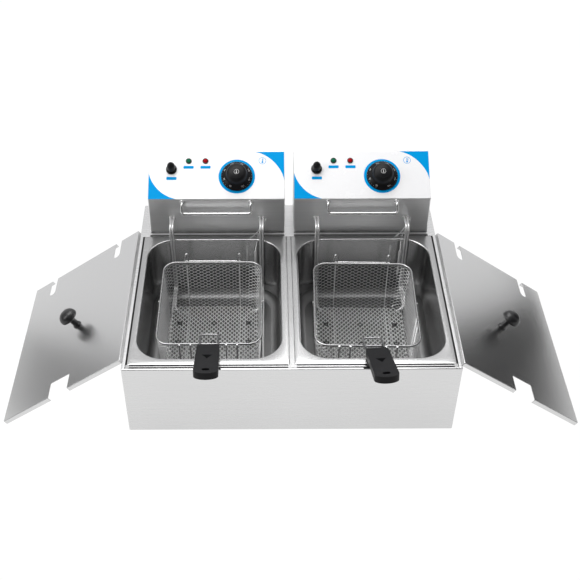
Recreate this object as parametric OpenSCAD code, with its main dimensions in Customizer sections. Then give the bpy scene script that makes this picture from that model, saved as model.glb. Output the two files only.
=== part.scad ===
// Counter-top twin-tank electric deep fryer.
// Two lift-out control heads carry the heating elements, two wire baskets stand
// on the elements, and the two lids lean against the sides of the casing.

/* [Casing] */
// Width of the casing
casing_w = 560; // [540:1:600]
// Depth of the casing
casing_d = 446; // [440:1:480]
// Height of the casing walls
casing_h = 150; // [145:1:190]
// Thickness of the casing sheet
casing_sheet = 1; // [0.8:0.1:1.5]
// Width of the folded rail round the top
rail_w = 4.5; // [3.5:0.5:6]
// Depth of the fold from the rail to the tank ledge
ledge_drop = 4; // [3.5:0.5:6]
// Width of the ledge that the tank lips rest on
ledge_w = 10; // [8:0.5:11]
// Width of the handle notch in the front rail
notch_w = 43; // [36:1:60]
// Width of the flange folded in at the bottom
bottom_flange = 14; // [12:1:24]
// Width of the rail between the tanks
divider_w = 7; // [6:0.5:8]

/* [Base] */
// Thickness of the base plate
base_t = 1; // [0.8:0.1:2]
// Length of one vent slot
vent_len = 60; // [20:5:90]
// Width of one vent slot
vent_w = 5; // [3:0.5:8]
// Number of vent slots in a row
vent_count = 7; // [3:1:9]
// Height of the rubber feet
foot_h = 10; // [8:1:30]
// Diameter of the rubber feet
foot_d = 30; // [24:1:40]
// Distance of the feet from the casing walls
foot_inset = 32; // [28:1:60]
// Diameter of the base screws
screw_d = 3.5; // [3:0.5:4]

/* [Tanks] */
// Width of a tank's opening
tank_w = 244.5; // [235:0.5:246]
// Length of a tank's opening
tank_len = 310.5; // [290:0.5:312]
// Depth of a tank
tank_h = 135; // [130:1:138]
// Thickness of the tank sheet
tank_sheet = 1; // [0.8:0.1:1.5]
// Radius of the tank's upright corners
tank_corner_r = 48; // [20:1:60]
// Width of the front rim, lip included
rim_front = 19.8; // [18:0.1:24]
// Width of the rim beside the divider
rim_inner = 11.2; // [9:0.1:12]
// Width of the lower lip at the front
lip_front = 4.7; // [4:0.1:9]
// Width of the lower lip at the sides
lip_side = 5.6; // [5:0.1:6]
// Width of the flat rear rim ahead of its lip
rim_rear = 8.5; // [6:0.1:9]
// Gap between a tank lip and the rail
rim_gap = 1.7; // [1:0.1:2.5]

/* [Control heads] */
// Width of a head
head_w = 254.6; // [248:0.1:258]
// Depth of a head at its foot
head_d = 86; // [82:1:90]
// Height of a head at its back
head_h = 125.5; // [115:0.5:150]
// Height of the panel's front lip
lip_h = 74.5; // [70:0.5:90]
// Backward lean of the front face at the lip
lip_back = 4; // [2:0.5:6]
// Space between the heads
head_gap = 17.4; // [10:0.1:24]
// Sideways shift of both heads
head_shift = 2; // [0:0.5:3]
// Thickness of the head sheet
head_sheet = 1; // [0.8:0.1:1.5]
// Thickness of the panel overlay
overlay_t = 0.5; // [0.3:0.1:1]
// Length of the locating tabs under a head
tab_w = 20; // [14:1:30]
// Depth of the locating tabs under a head
tab_h = 8; // [6:1:12]

/* [Controls] */
// Diameter of the thermostat dial
dial_d = 58.7; // [50:0.1:64]
// Height of the thermostat dial
dial_h = 9; // [6:0.5:12]
// Diameter of the knob cap
cap_d = 39; // [30:1:44]
// Height of the knob cap above the panel
cap_h = 24; // [18:1:30]
// Diameter of the thermostat shaft
shaft_d = 6; // [5:0.5:8]
// Knob's distance from the head's centre
knob_x = 38; // [34:1:42]
// Knob's distance up the panel
knob_s = 45.8; // [42:0.1:50]
// Diameter of the indicator lamps
lamp_d = 11.2; // [8:0.2:14]
// Diameter of the lamp bodies behind the panel
lamp_body_d = 8; // [6:0.5:9]
// Green lamp's distance left of the head's centre
green_x = 52.4; // [48:0.1:56]
// Red lamp's distance left of the head's centre
red_x = 21; // [16:0.1:26]
// Lamps' distance up the panel
lamp_s = 77; // [72:0.5:82]
// Diameter of the switch collar
collar_d = 20.6; // [18:0.1:24]
// Diameter of the switch boot
boot_d = 15; // [12:0.5:16]
// Length of the switch lever
lever_len = 12; // [10:0.5:15]
// Lean of the switch lever at rest
lever_lean = 14; // [8:1:18]
// Switch's distance left of the head's centre
switch_x = 84.5; // [80:0.1:90]
// Switch's distance up the panel
switch_s = 60.4; // [54:0.1:66]

/* [Heating element] */
// Diameter of the element tube
element_d = 5.2; // [4:0.1:5.6]
// Distance between the two tubes of a leg
stem_pitch = 7.2; // [6.8:0.1:9]
// Distance of the legs from the head's centre
leg_x = 84; // [80:1:90]
// Height of the glands above the head's foot
gland_z = 34; // [28:1:44]
// Width of the clamp plates of a leg
gland_w = 17; // [16:1:22]
// Clearance of the legs to the tank's rear wall
leg_clear = 4.5; // [3:0.5:8]
// Height of the element above the tank floor
element_rise = 23; // [16:1:30]
// Reach of the outer loop from the legs
outer_reach = 259; // [220:1:262]
// Half width of the inner loop
inner_half = 52; // [36:1:60]
// Diameter of the sensor bulbs
bulb_d = 6; // [4:0.5:7]
// Length of the sensor bulbs
bulb_len = 58; // [40:1:60]

/* [Baskets] */
// Width of a basket over its rim
basket_w = 183; // [170:1:190]
// Length of a basket over its rim
basket_len = 217.5; // [200:0.5:222]
// Radius of the rim's corners
basket_r = 25; // [16:1:30]
// Diameter of the rim wire
rim_wire = 5; // [4:0.5:6]
// Diameter of the frame wires
frame_wire = 3; // [2.5:0.5:3.5]
// Taper of each basket wall to the floor
basket_taper = 5; // [2:0.5:7]
// Thickness of the woven wire wall
mesh_t = 1.2; // [0.8:0.1:2]
// Bar between two openings of the woven wall, which is drawn as a coarse grid
mesh_bar = 3.2; // [2.5:0.1:5]
// Openings across the front and rear walls
mesh_across = 5; // [4:1:10]
// Openings along the side walls
mesh_along = 6; // [4:1:10]
// Rows of openings up the walls
mesh_rows = 3; // [3:1:8]
// Distance between the long frame wires
frame_pitch = 97; // [80:1:110]
// Left basket's sideways place in its tank
basket_x_left = -1.35; // [-4:0.05:4]
// Right basket's sideways place in its tank
basket_x_right = -6.2; // [-7:0.05:4]
// Left basket's distance behind the front wall
basket_y_left = 33; // [32:0.1:38]
// Right basket's distance behind the front wall
basket_y_right = 27.3; // [26:0.1:38]
// Turn of the right basket seen from above
basket_turn_right = -1.4; // [-2:0.1:2]

/* [Basket handles] */
// Diameter of the handle wires
prong_d = 4.5; // [4:0.5:5]
// Distance between the two prongs
prong_pitch = 31; // [26:1:32]
// Reach of the prongs inside the rim
prong_in = 25; // [20:1:40]
// Rise of the handle from level
handle_rise = 17; // [14:1:24]
// Turn of the right handle seen from above
handle_turn_right = 6.5; // [0:0.5:7]
// Left handle's sideways place on its basket
handle_x_left = 1.5; // [-8:0.5:8]
// Right handle's sideways place on its basket
handle_x_right = 8.5; // [-10:0.5:10]
// How far the right handle is pulled out
handle_pull_right = 7; // [0:0.5:8]
// Length of the bare wires between the rim and the grip
grip_start = 21; // [8:1:24]
// Length of the grip
grip_len = 97; // [90:1:120]
// Width of the grip at the rim
grip_w_root = 37; // [36:1:42]
// Width of the grip at its end
grip_w_end = 40; // [38:1:46]
// Thickness of the grip
grip_t = 12; // [10:0.5:15]
// Radius of the grip's corners at its end
grip_end_r = 14; // [10:1:18]

/* [Lids] */
// Width of a lid
lid_w = 267; // [255:1:272]
// Length of a lid
lid_len = 344; // [320:1:350]
// Depth of the lid's folded edge
lid_fold = 8; // [6:0.5:12]
// Thickness of the lid sheet
lid_sheet = 1; // [0.8:0.1:1.5]
// Place of the handle notch from the inner edge
lid_notch_x = 139; // [120:1:150]
// Width of the handle notch
lid_notch_w = 44; // [38:1:60]
// Depth of the handle notch
lid_notch_d = 34; // [20:1:45]
// Place of the first leg slot from the inner edge
lid_slot_a = 49.5; // [45:0.5:62]
// Place of the second leg slot from the inner edge
lid_slot_b = 216; // [210:1:230]
// Width of the leg slots
lid_slot_w = 14.5; // [14:0.5:20]
// Depth of the leg slots
lid_slot_d = 45.5; // [30:0.5:50]
// Place of the lid knob from the inner edge
lid_knob_x = 122.5; // [115:0.5:150]
// Place of the lid knob from the middle of the lid's length
lid_knob_y = -13.5; // [-20:0.5:20]
// Diameter of the lid knob's cap
lid_knob_d = 34; // [28:1:38]
// Height of the lid knob
lid_knob_h = 36.5; // [32:0.5:44]
// Left lid's place along the casing
lid_y_left = -28.5; // [-40:0.5:40]
// Right lid's place along the casing
lid_y_right = -38; // [-40:0.5:40]

/* [Hidden] */
$fn = 48;

film = 0.01;                    // thin end slice of a tapered wall
gap = 0.3;                      // clearance between pieces that part or move
top_z = foot_h + casing_h;      // top of the casing above the table

// top opening of the casing, and the lips inside it
deck_y = casing_d / 2 - head_d - 3.3;
open_x = casing_w / 2 - rail_w;
open_front = -casing_d / 2 + rail_w;
lip_x = open_x - rim_gap;
lip_y0 = open_front + rim_gap;
lip_y1 = deck_y - rim_gap;

// tank opening
tank_x0 = divider_w / 2 + 1.2 + rim_inner;
tank_x = tank_x0 + tank_w / 2;
tank_y0 = lip_y0 + rim_front;
tank_y1 = tank_y0 + tank_len;
tank_y = (tank_y0 + tank_y1) / 2;
flat_y1 = tank_y1 + rim_rear;
tank_floor = top_z - tank_h;

// heads
head_y = casing_d / 2 - head_d;
panel_a = atan((head_h - lip_h) / (head_d - lip_back));
panel_len = norm([head_d - lip_back, head_h - lip_h]);
bush_d = 12;                    // threaded bush of the switch
shaft_bush_d = 9;               // threaded bush of the thermostat
gland_h = 9.5;
gland_t = 2.2;
capillary_d = 2.4;
capillary_x = 64;
capillary_z = 16;
capillary_pitch = 8;
bulb_top = 14;                  // the bulbs' upper ends below the head
bail_wire = 5;
bail_half = 62.5;
bail_z = 69;
bail_drop = 14;
bail_out = 12;
cord_inset = 37.3;              // cord gland and tabs from the ends of a head
cord_gland_x = cord_inset - head_w / 2;
cord_gland_z = 30;
cord_gland_d = 16;
reset_x = -40;
reset_z = 70;
reset_d = 10;
cutout_half = 11;
gland_out = 15;                 // reach of the cord gland behind the head
tab_x = head_w / 2 - cord_inset;
cover_screw_x = head_w / 2 - 8;
cover_screw_z = [10, head_h - 32];

// element and baskets
element_z = tank_floor + element_rise;
leg_y = tank_y1 - leg_clear - element_d / 2;
frame_z = element_z + element_d / 2 + gap + frame_wire / 2;
mesh_floor = frame_z + frame_wire / 2 + gap;
rim_z = top_z - rim_wire / 2;
rim_half_x = (basket_w - rim_wire) / 2;
rim_half_y = (basket_len - rim_wire) / 2;
mesh_top = rim_z - rim_wire / 2 - gap;
prong_seat = 40;                // length of the prongs inside the grip

// lids
lid_rise = top_z - 0.2;         // height of the inner edge's top corner
lid_a = lean(40, 20);
lid_x = casing_w / 2 + gap + lid_fold * sin(lid_a);

// where the handles and the cord glands reach, which sets the origin
turned = handle_turn_right + basket_turn_right;
front_reach = -(tank_y0 + basket_y_right) - rim_wire / 2
    + (grip_start + grip_len + handle_pull_right) * cos(handle_rise) * cos(turned)
    + (grip_w_end / 2 - grip_end_r) * sin(turned)
    + (grip_t / 2 - prong_lift(1)) * sin(handle_rise);
rear_reach = casing_d / 2 + gland_out;
shift_y = (front_reach - rear_reach) / 2;

// lean of a lid whose fold stands on the table, by repeated halving of the step
function lean(a, step) = step < 0.00001 ? a :
    lean(lid_w * sin(a) + lid_fold * cos(a) > lid_rise ? a - step : a + step, step / 2);
function head_x(side) = side * (head_w + head_gap) / 2 + head_shift;
function basket_x(side) = side * tank_x + (side < 0 ? basket_x_left : basket_x_right);
function basket_front(side) = tank_y0 + (side < 0 ? basket_y_left : basket_y_right);
function basket_turn(side) = side < 0 ? 0 : basket_turn_right;
function handle_turn(side) = side < 0 ? 0 : handle_turn_right;
function handle_x(side) = side < 0 ? handle_x_left : handle_x_right;
function handle_pull(side) = side < 0 ? 0 : handle_pull_right;

// the prongs' centre line above the rim's, which a turned handle needs more of
function prong_lift(side) = rim_wire / 2 + gap + prong_d / 2
    + prong_pitch / 2 * tan(handle_turn(side)) * tan(handle_rise);

// ---------------------------------------------------------------- helpers
module at_origin() translate([0, shift_y, 0]) children();

module at_head(side) at_origin() translate([head_x(side), head_y, top_z]) children();

module on_panel(side, u, s) at_head(side)
    translate([u, lip_back, lip_h]) rotate([panel_a, 0, 0]) translate([0, s, 0]) children();

module at_basket(side) at_origin()
    translate([basket_x(side), basket_front(side) + basket_len / 2, rim_z])
    rotate([0, 0, basket_turn(side)]) children();

module at_handle(side) at_basket(side) translate([handle_x(side), -rim_half_y, 0])
    rotate([0, 0, handle_turn(side)]) rotate([-handle_rise, 0, 0])
    translate([0, -handle_pull(side), prong_lift(side)]) children();

// lid frame: x from the inner edge outward, y along the casing, z out of the panel
module at_lid(side) at_origin()
    translate([side * lid_x, side < 0 ? lid_y_left : lid_y_right, lid_rise])
    mirror([side < 0 ? 1 : 0, 0, 0]) rotate([0, lid_a, 0]) children();

module block(x0, x1, y0, y1, z0, z1) translate([x0, y0, z0]) cube([x1 - x0, y1 - y0, z1 - z0]);

module frame_block(x, y0, y1, w, z0, z1) difference() {
    block(-x, x, y0, y1, z0, z1);
    block(-x + w, x - w, y0 + w, y1 - w, z0 - 1, z1 + 1);
}

module rounded(w, l, r) union() {
    square([w - 2 * r, l], center = true);
    square([w, l - 2 * r], center = true);
    for (x = [-1, 1], y = [-1, 1]) translate([x * (w / 2 - r), y * (l / 2 - r)]) circle(r);
}

// straight round bar between two points
module bar(a, b, d) {
    v = b - a;
    translate(a) rotate([0, acos(v[2] / norm(v)), atan2(v[1], v[0])])
        cylinder(d = d, h = norm(v));
}

function unit(v) = v / norm(v);

// round wire through a list of points, bent to a radius r at each inner point
module wire(points, d, r) {
    last = len(points) - 1;
    dirs = [for (i = [0 : last - 1]) unit(points[i + 1] - points[i])];
    turn = [for (i = [0 : last]) i == 0 || i == last ? 0 : acos(dirs[i - 1] * dirs[i])];
    back = [for (i = [0 : last]) r * tan(turn[i] / 2)];
    for (i = [0 : last - 1])
        bar(points[i] + dirs[i] * back[i], points[i + 1] - dirs[i] * back[i + 1], d);
    for (i = [1 : last - 1]) if (turn[i] > 0.01) {
        u = dirs[i - 1];
        w = unit(dirs[i] - u * (u * dirs[i]));
        k = cross(u, w);
        c = points[i] - u * back[i] + w * r;
        multmatrix([[-w[0], u[0], k[0], c[0]], [-w[1], u[1], k[1], c[1]],
            [-w[2], u[2], k[2], c[2]], [0, 0, 0, 1]])
            rotate_extrude(angle = turn[i]) translate([r, 0]) circle(d = d);
    }
}

module rod_y(x, y0, y1, z, d) translate([x, y0, z]) rotate([-90, 0, 0])
    cylinder(d = d, h = y1 - y0);

// ---------------------------------------------------------------- casing
foot_x = casing_w / 2 - foot_inset;
foot_y = casing_d / 2 - foot_inset;
screw_hole = screw_d + 2 * gap;
screw_head_d = 2 * screw_d;
screw_head_h = 2;
flange_in = casing_sheet + bottom_flange / 2;

module base_screw_places() {
    for (x = [-1, 0, 1], y = [-1, 1])
        translate([x * casing_w / 3, y * (casing_d / 2 - flange_in)]) children();
    for (x = [-1, 1]) translate([x * (casing_w / 2 - flange_in), 0]) children();
}

module foot_places() for (x = [-1, 1], y = [-1, 1]) translate([x * foot_x, y * foot_y]) children();

module outer_casing() color("gainsboro") at_origin() difference() {
    union() {
        // walls
        difference() {
            block(-casing_w / 2, casing_w / 2, -casing_d / 2, casing_d / 2, foot_h, top_z);
            block(-casing_w / 2 + casing_sheet, casing_w / 2 - casing_sheet,
                -casing_d / 2 + casing_sheet, casing_d / 2 - casing_sheet,
                foot_h - 1, top_z + 1);
        }
        // rail round the opening, and the deck that the heads stand on
        difference() {
            block(-casing_w / 2, casing_w / 2, -casing_d / 2, casing_d / 2,
                top_z - casing_sheet, top_z);
            block(-open_x, open_x, open_front, deck_y, top_z - 2 * casing_sheet, top_z + 1);
        }
        // fold down from the rail, and the ledge under the tank lips
        frame_block(open_x + casing_sheet, open_front - casing_sheet, deck_y + casing_sheet,
            casing_sheet, top_z - ledge_drop - casing_sheet, top_z);
        frame_block(open_x + casing_sheet, open_front - casing_sheet, deck_y + casing_sheet,
            ledge_w, top_z - ledge_drop - casing_sheet, top_z - ledge_drop);
        // flange folded in above the base plate
        translate([0, 0, foot_h + base_t]) difference() {
            block(-casing_w / 2, casing_w / 2, -casing_d / 2, casing_d / 2, 0, casing_sheet);
            block(-casing_w / 2 + casing_sheet + bottom_flange,
                casing_w / 2 - casing_sheet - bottom_flange,
                -casing_d / 2 + casing_sheet + bottom_flange,
                casing_d / 2 - casing_sheet - bottom_flange, -1, casing_sheet + 1);
        }
    }
    // notches for the basket handles
    for (side = [-1, 1]) translate([side * tank_x, 0, 0])
        block(-notch_w / 2, notch_w / 2, -casing_d / 2 + casing_sheet, open_front + 1,
            top_z - ledge_drop + 1.5, top_z + 1);
    // slots for the locating tabs of the heads
    for (side = [-1, 1], x = [-1, 1]) translate([head_x(side) + x * tab_x, 0, 0])
        block(-tab_w / 2 - 1, tab_w / 2 + 1, head_y + head_d / 2 - 2, head_y + head_d / 2 + 2,
            top_z - casing_sheet - 1, top_z + 1);
    base_screw_places() translate([0, 0, foot_h]) cylinder(d = screw_hole, h = 4);
}

module base_plate() color("silver") at_origin() difference() {
    block(-casing_w / 2 + casing_sheet + gap, casing_w / 2 - casing_sheet - gap,
        -casing_d / 2 + casing_sheet + gap, casing_d / 2 - casing_sheet - gap,
        foot_h, foot_h + base_t);
    base_screw_places() translate([0, 0, foot_h - 1]) cylinder(d = screw_hole, h = base_t + 2);
    foot_places() translate([0, 0, foot_h - 1]) cylinder(d = screw_hole, h = base_t + 2);
    for (side = [-1, 1], row = [-1, 1], i = [0 : vent_count - 1])
        translate([side * casing_w / 4 + (i - (vent_count - 1) / 2) * vent_w * 3,
            row * vent_len * 0.75, foot_h + base_t / 2])
            cube([vent_w, vent_len, 3 * base_t], center = true);
}

// channel whose ends stand on the ledges and whose flanges carry the inner tank rims
module centre_divider() color("gainsboro") at_origin() {
    half = divider_w / 2;
    difference() {
        block(-half, half, open_front + gap, deck_y - gap, top_z - ledge_drop, top_z);
        block(-half + casing_sheet, half - casing_sheet, open_front, deck_y,
            top_z - ledge_drop - 1, top_z - casing_sheet);
    }
    for (side = [-1, 1]) mirror([side < 0 ? 1 : 0, 0, 0])
        block(half - casing_sheet, half + rim_inner - 2, lip_y0 + lip_front + 2, flat_y1 - 2,
            top_z - tank_sheet - casing_sheet, top_z - tank_sheet);
}

module rubber_feet() color("black") at_origin() foot_places() difference() {
    cylinder(d1 = foot_d - 3, d2 = foot_d, h = foot_h);
    translate([0, 0, -1]) cylinder(d = screw_head_d + 2, h = foot_h / 2 + 1);
    cylinder(d = screw_hole, h = foot_h + 1);
}

module base_screws() color("silver") at_origin() {
    base_screw_places() translate([0, 0, foot_h - screw_head_h]) {
        cylinder(d = screw_head_d, h = screw_head_h);
        cylinder(d = screw_d, h = screw_head_h + 6);
    }
    foot_places() translate([0, 0, foot_h / 2 - screw_head_h]) {
        cylinder(d = screw_head_d, h = screw_head_h);
        cylinder(d = screw_d, h = foot_h / 2 + screw_head_h + 5);
    }
}

// ---------------------------------------------------------------- tanks
module tank(side) color("silver") at_origin() mirror([side < 0 ? 1 : 0, 0, 0]) {
    inner_x = divider_w / 2 + 1.2;
    flat_x = lip_x - lip_side;
    flat_y0 = lip_y0 + lip_front;
    lip_top = top_z - ledge_drop + tank_sheet;
    difference() {
        union() {
            block(inner_x, flat_x, flat_y0, flat_y1, top_z - tank_sheet, top_z);
            // step down round the flat rim, then the lower lip
            difference() {
                block(inner_x, flat_x, flat_y0, flat_y1, lip_top - tank_sheet, top_z);
                block(inner_x - 1, flat_x - tank_sheet, flat_y0 + tank_sheet,
                    flat_y1 - tank_sheet, lip_top - tank_sheet - 1, top_z);
            }
            difference() {
                block(inner_x, lip_x, lip_y0, lip_y1, lip_top - tank_sheet, lip_top);
                block(inner_x - 1, flat_x - tank_sheet / 2, flat_y0 + tank_sheet / 2,
                    flat_y1 - tank_sheet / 2, lip_top - tank_sheet - 1, lip_top + 1);
            }
            translate([tank_x, tank_y, tank_floor - tank_sheet])
                linear_extrude(top_z - tank_floor + tank_sheet)
                rounded(tank_w + 2 * tank_sheet, tank_len + 2 * tank_sheet,
                    tank_corner_r + tank_sheet);
        }
        translate([tank_x, tank_y, tank_floor]) linear_extrude(tank_h + 1)
            rounded(tank_w, tank_len, tank_corner_r);
    }
}
module tank_left() tank(-1);
module tank_right() tank(1);

// ---------------------------------------------------------------- heads
// inner side of the front and panel sheets, at the corner under the lip
front_k = lip_back / lip_h;
panel_m = tan(panel_a);
panel_q = head_sheet / cos(panel_a);
in_z = (lip_h + (head_sheet - lip_back) * panel_m - panel_q) / (1 - front_k * panel_m);
in_y = front_k * in_z + head_sheet;
cover_y = head_d - head_sheet;          // the back cover closes the shell from inside
cover_top = lip_h + (cover_y - lip_back) * panel_m - panel_q;

module prism(points, w) rotate([90, 0, 90]) linear_extrude(w, center = true) polygon(points);

module head_shell(side) color("lightgrey") difference() {
    union() {
        at_head(side) difference() {
            prism([[0, 0], [lip_back, lip_h], [head_d, head_h], [head_d, 0]], head_w);
            prism([[front_k * head_sheet + head_sheet, head_sheet], [in_y, in_z],
                [head_d + 10, lip_h + (head_d + 10 - lip_back) * panel_m - panel_q],
                [head_d + 10, head_sheet]], head_w - 2 * head_sheet);
        }
        // locating tabs through the deck, and lugs for the back cover's screws
        at_head(side) for (x = [-1, 1]) {
            block(x * tab_x - tab_w / 2, x * tab_x + tab_w / 2, head_d / 2 - 1, head_d / 2 + 1,
                -tab_h, head_sheet);
            for (z = cover_screw_z)
                block(x * cover_screw_x - 7, x * cover_screw_x + 7, cover_y - 3, cover_y - 1,
                    z - 6, z + 6);
        }
    }
    on_panel(side, knob_x, knob_s) translate([0, 0, -5]) cylinder(d = shaft_bush_d + 0.6, h = 9);
    on_panel(side, -switch_x, switch_s) translate([0, 0, -5]) cylinder(d = bush_d + 0.6, h = 9);
    for (x = [-green_x, -red_x]) on_panel(side, x, lamp_s) translate([0, 0, -5])
        cylinder(d = lamp_body_d + 0.6, h = 9);
    at_head(side) {
        for (x = [-1, 1], p = [-1, 1])
            rod_y(x * leg_x + p * stem_pitch / 2, -5, 8, gland_z, element_d + 0.8);
        for (p = [0, 1]) rod_y(capillary_x + p * capillary_pitch, -5, 8, capillary_z,
            capillary_d + 0.6);
        for (x = [-1, 1]) rod_y(x * bail_half, -5, 9, bail_z, bail_wire + 0.6);
        for (x = [-1, 1], z = cover_screw_z)
            rod_y(x * cover_screw_x, cover_y - 5, head_d + 1, z, screw_d + 0.6);
    }
}
module head_shell_left() head_shell(-1);
module head_shell_right() head_shell(1);

module head_back_cover(side) color("silver") at_head(side) difference() {
    prism([[cover_y, head_sheet + gap], [cover_y, cover_top - gap],
        [head_d, cover_top - gap], [head_d, head_sheet + gap]], head_w - 2 * head_sheet - 2 * gap);
    rod_y(cord_gland_x, cover_y - 1, head_d + 1, cord_gland_z, cord_gland_d + 0.6);
    rod_y(reset_x, cover_y - 1, head_d + 1, reset_z, reset_d + 0.6);
    for (x = [-1, 1], z = cover_screw_z)
        rod_y(x * cover_screw_x, cover_y - 1, head_d + 1, z, screw_d + 0.6);
    for (i = [0 : vent_count - 1]) translate([30 + i * 9, head_d, 80])
        cube([4, 6, 34], center = true);
}
module head_back_cover_left() head_back_cover(-1);
module head_back_cover_right() head_back_cover(1);

module control_overlay(side) color("white") difference() {
    on_panel(side, 0, panel_len / 2) translate([0, 0, overlay_t / 2])
        cube([head_w - 1, panel_len - 1.5, overlay_t], center = true);
    on_panel(side, knob_x, knob_s) translate([0, 0, -1]) cylinder(d = shaft_bush_d + 0.6, h = 3);
    on_panel(side, -switch_x, switch_s) translate([0, 0, -1]) cylinder(d = bush_d + 0.6, h = 3);
    for (x = [-green_x, -red_x]) on_panel(side, x, lamp_s) translate([0, 0, -1])
        cylinder(d = lamp_body_d + 0.6, h = 3);
}
module control_overlay_left() control_overlay(-1);
module control_overlay_right() control_overlay(1);

// bent rod under the panel lip that a lifted basket is hooked on to drain
module basket_bail(side) color("silver") at_head(side) {
    y_in = 12;
    wire([[-bail_half, y_in, bail_z], [-bail_half, -bail_out, bail_z],
        [-bail_half, -bail_out, bail_z - bail_drop], [bail_half, -bail_out, bail_z - bail_drop],
        [bail_half, -bail_out, bail_z], [bail_half, y_in, bail_z]], bail_wire, 5);
    // washers welded on behind the face
    for (x = [-1, 1]) rod_y(x * bail_half, front_k * bail_z + head_sheet + 0.6,
        front_k * bail_z + head_sheet + 2.6, bail_z, bail_wire + 4);
}
module basket_bail_left() basket_bail(-1);
module basket_bail_right() basket_bail(1);

stem_in = 16;                           // cold ends inside the head
element_bend = 8;
module heating_element(side) color("dimgray") at_head(side) {
    y_leg = leg_y - head_y;
    z = element_z - top_z;
    out_x = leg_x + stem_pitch / 2;
    in_x = leg_x - stem_pitch / 2;
    out_y = y_leg - outer_reach;
    in_y = y_leg - 34;
    // outer tube: cold end, forward run, leg, loop under the basket, and back
    wire([[-out_x, stem_in, gland_z], [-out_x, y_leg, gland_z], [-out_x, y_leg, z],
        [-out_x, out_y, z], [out_x, out_y, z],
        [out_x, y_leg, z], [out_x, y_leg, gland_z], [out_x, stem_in, gland_z]],
        element_d, element_bend);
    wire([[-in_x, stem_in, gland_z], [-in_x, y_leg, gland_z], [-in_x, y_leg, z],
        [-in_x, in_y, z], [-inner_half, in_y, z], [-inner_half, out_y + 32, z],
        [inner_half, out_y + 32, z], [inner_half, in_y, z], [in_x, in_y, z],
        [in_x, y_leg, z], [in_x, y_leg, gland_z], [in_x, stem_in, gland_z]],
        element_d, element_bend);
}
module heating_element_left() heating_element(-1);
module heating_element_right() heating_element(1);

// a clamp plate on each side of the face holds each pair of cold ends
module element_glands(side) color("goldenrod") at_head(side) for (x = [-1, 1])
    translate([x * leg_x, 0, gland_z]) difference() {
        plate_y = front_k * (gland_z + gland_h / 2);
        for (y = [front_k * (gland_z - gland_h / 2) - gap - gland_t, plate_y + head_sheet + gap])
            translate([0, y + gland_t, 0]) rotate([90, 0, 0]) linear_extrude(gland_t)
                rounded(gland_w, gland_h, 3);
        for (p = [-1, 1]) rod_y(p * stem_pitch / 2, -10, 20, 0, element_d + 0.1);
    }
module element_glands_left() element_glands(-1);
module element_glands_right() element_glands(1);

body_drop = head_sheet + gap;
module thermostat(side) color("tan") on_panel(side, knob_x, knob_s) difference() {
    union() {
        translate([0, 0, -body_drop - 13]) cube([40, 34, 26], center = true);
        translate([0, 0, -4]) cylinder(d = shaft_bush_d, h = 8);
    }
    translate([0, 0, -12]) cylinder(d = shaft_d + 0.1, h = 20);
}
module thermostat_left() thermostat(-1);
module thermostat_right() thermostat(1);

shaft_top = 18;
module thermostat_shaft(side) color("silver") on_panel(side, knob_x, knob_s)
    translate([0, 0, -11.5]) cylinder(d = shaft_d, h = 11.5 + shaft_top);
module thermostat_shaft_left() thermostat_shaft(-1);
module thermostat_shaft_right() thermostat_shaft(1);

knob_rise = overlay_t + 0.5;            // running gap under the dial
module thermostat_knob(side) color("black") on_panel(side, knob_x, knob_s) difference() {
    union() {
        translate([0, 0, knob_rise]) rotate_extrude() polygon([[0, 0], [dial_d / 2, 0],
            [dial_d / 2, 1.6], [dial_d / 2 - 1, 2.6], [cap_d / 2 + 1, dial_h],
            [cap_d / 2 - 1, cap_h - 8], [cap_d / 2 - 2.5, cap_h - 4.5],
            [cap_d / 2 - 6, cap_h - 2], [cap_d / 2 - 11, cap_h - 0.6], [0, cap_h]]);
        // pointer rib on the dial
        translate([0, dial_d / 2 - 4.5, knob_rise + 1]) cylinder(d = 5, h = 3);
    }
    cylinder(d = shaft_d, h = shaft_top);
    cylinder(d = shaft_bush_d + 2, h = 5.2);
}
module thermostat_knob_left() thermostat_knob(-1);
module thermostat_knob_right() thermostat_knob(1);

// over-temperature cut-out on the back cover, with its reset button
module limit_cutout(side) color("saddlebrown") at_head(side) {
    block(reset_x - 14, reset_x + 14, cover_y - 20.3, cover_y - gap,
        reset_z - cutout_half, reset_z + cutout_half);
    rod_y(reset_x, cover_y - 2, head_d + 3, reset_z, reset_d);
}
module limit_cutout_left() limit_cutout(-1);
module limit_cutout_right() limit_cutout(1);

// capillaries from the thermostat and the cut-out, over the tank rim to the bulbs
module sensor_bulbs(side) color("peru") at_head(side) {
    starts = [[knob_x + 8, 44, 66], [reset_x + 9, cover_y - 13, reset_z - cutout_half - gap]];
    for (p = [0, 1]) {
        x = capillary_x + p * capillary_pitch;
        y_low = tank_y1 - head_y - 8 - p * 10;
        start = starts[p];
        wire([start, [start[0], start[1], capillary_z], [x, start[1], capillary_z],
            [x, y_low, capillary_z], [x, y_low, -bulb_top - 2]], capillary_d, 4);
        translate([x, y_low, -bulb_top - bulb_len]) cylinder(d = bulb_d, h = bulb_len);
    }
}
module sensor_bulbs_left() sensor_bulbs(-1);
module sensor_bulbs_right() sensor_bulbs(1);

collar_h = 3;
switch_body = [22, 14, 22];             // block behind the panel
pivot_z = overlay_t + collar_h + 3;     // centre of the boot above the panel
module switch_housing(side) color("black") on_panel(side, -switch_x, switch_s) difference() {
    union() {
        translate([0, 0, -body_drop - switch_body[2] / 2]) cube(switch_body, center = true);
        translate([0, 0, -4]) cylinder(d = bush_d, h = 4 + overlay_t + 1);
        translate([0, 0, overlay_t]) cylinder(d = collar_d, h = collar_h);
    }
    // seat of the boot, and the lever's way into the bush
    translate([0, 0, pivot_z]) sphere(d = boot_d + 2 * gap);
}
module switch_housing_left() switch_housing(-1);
module switch_housing_right() switch_housing(1);

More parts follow.
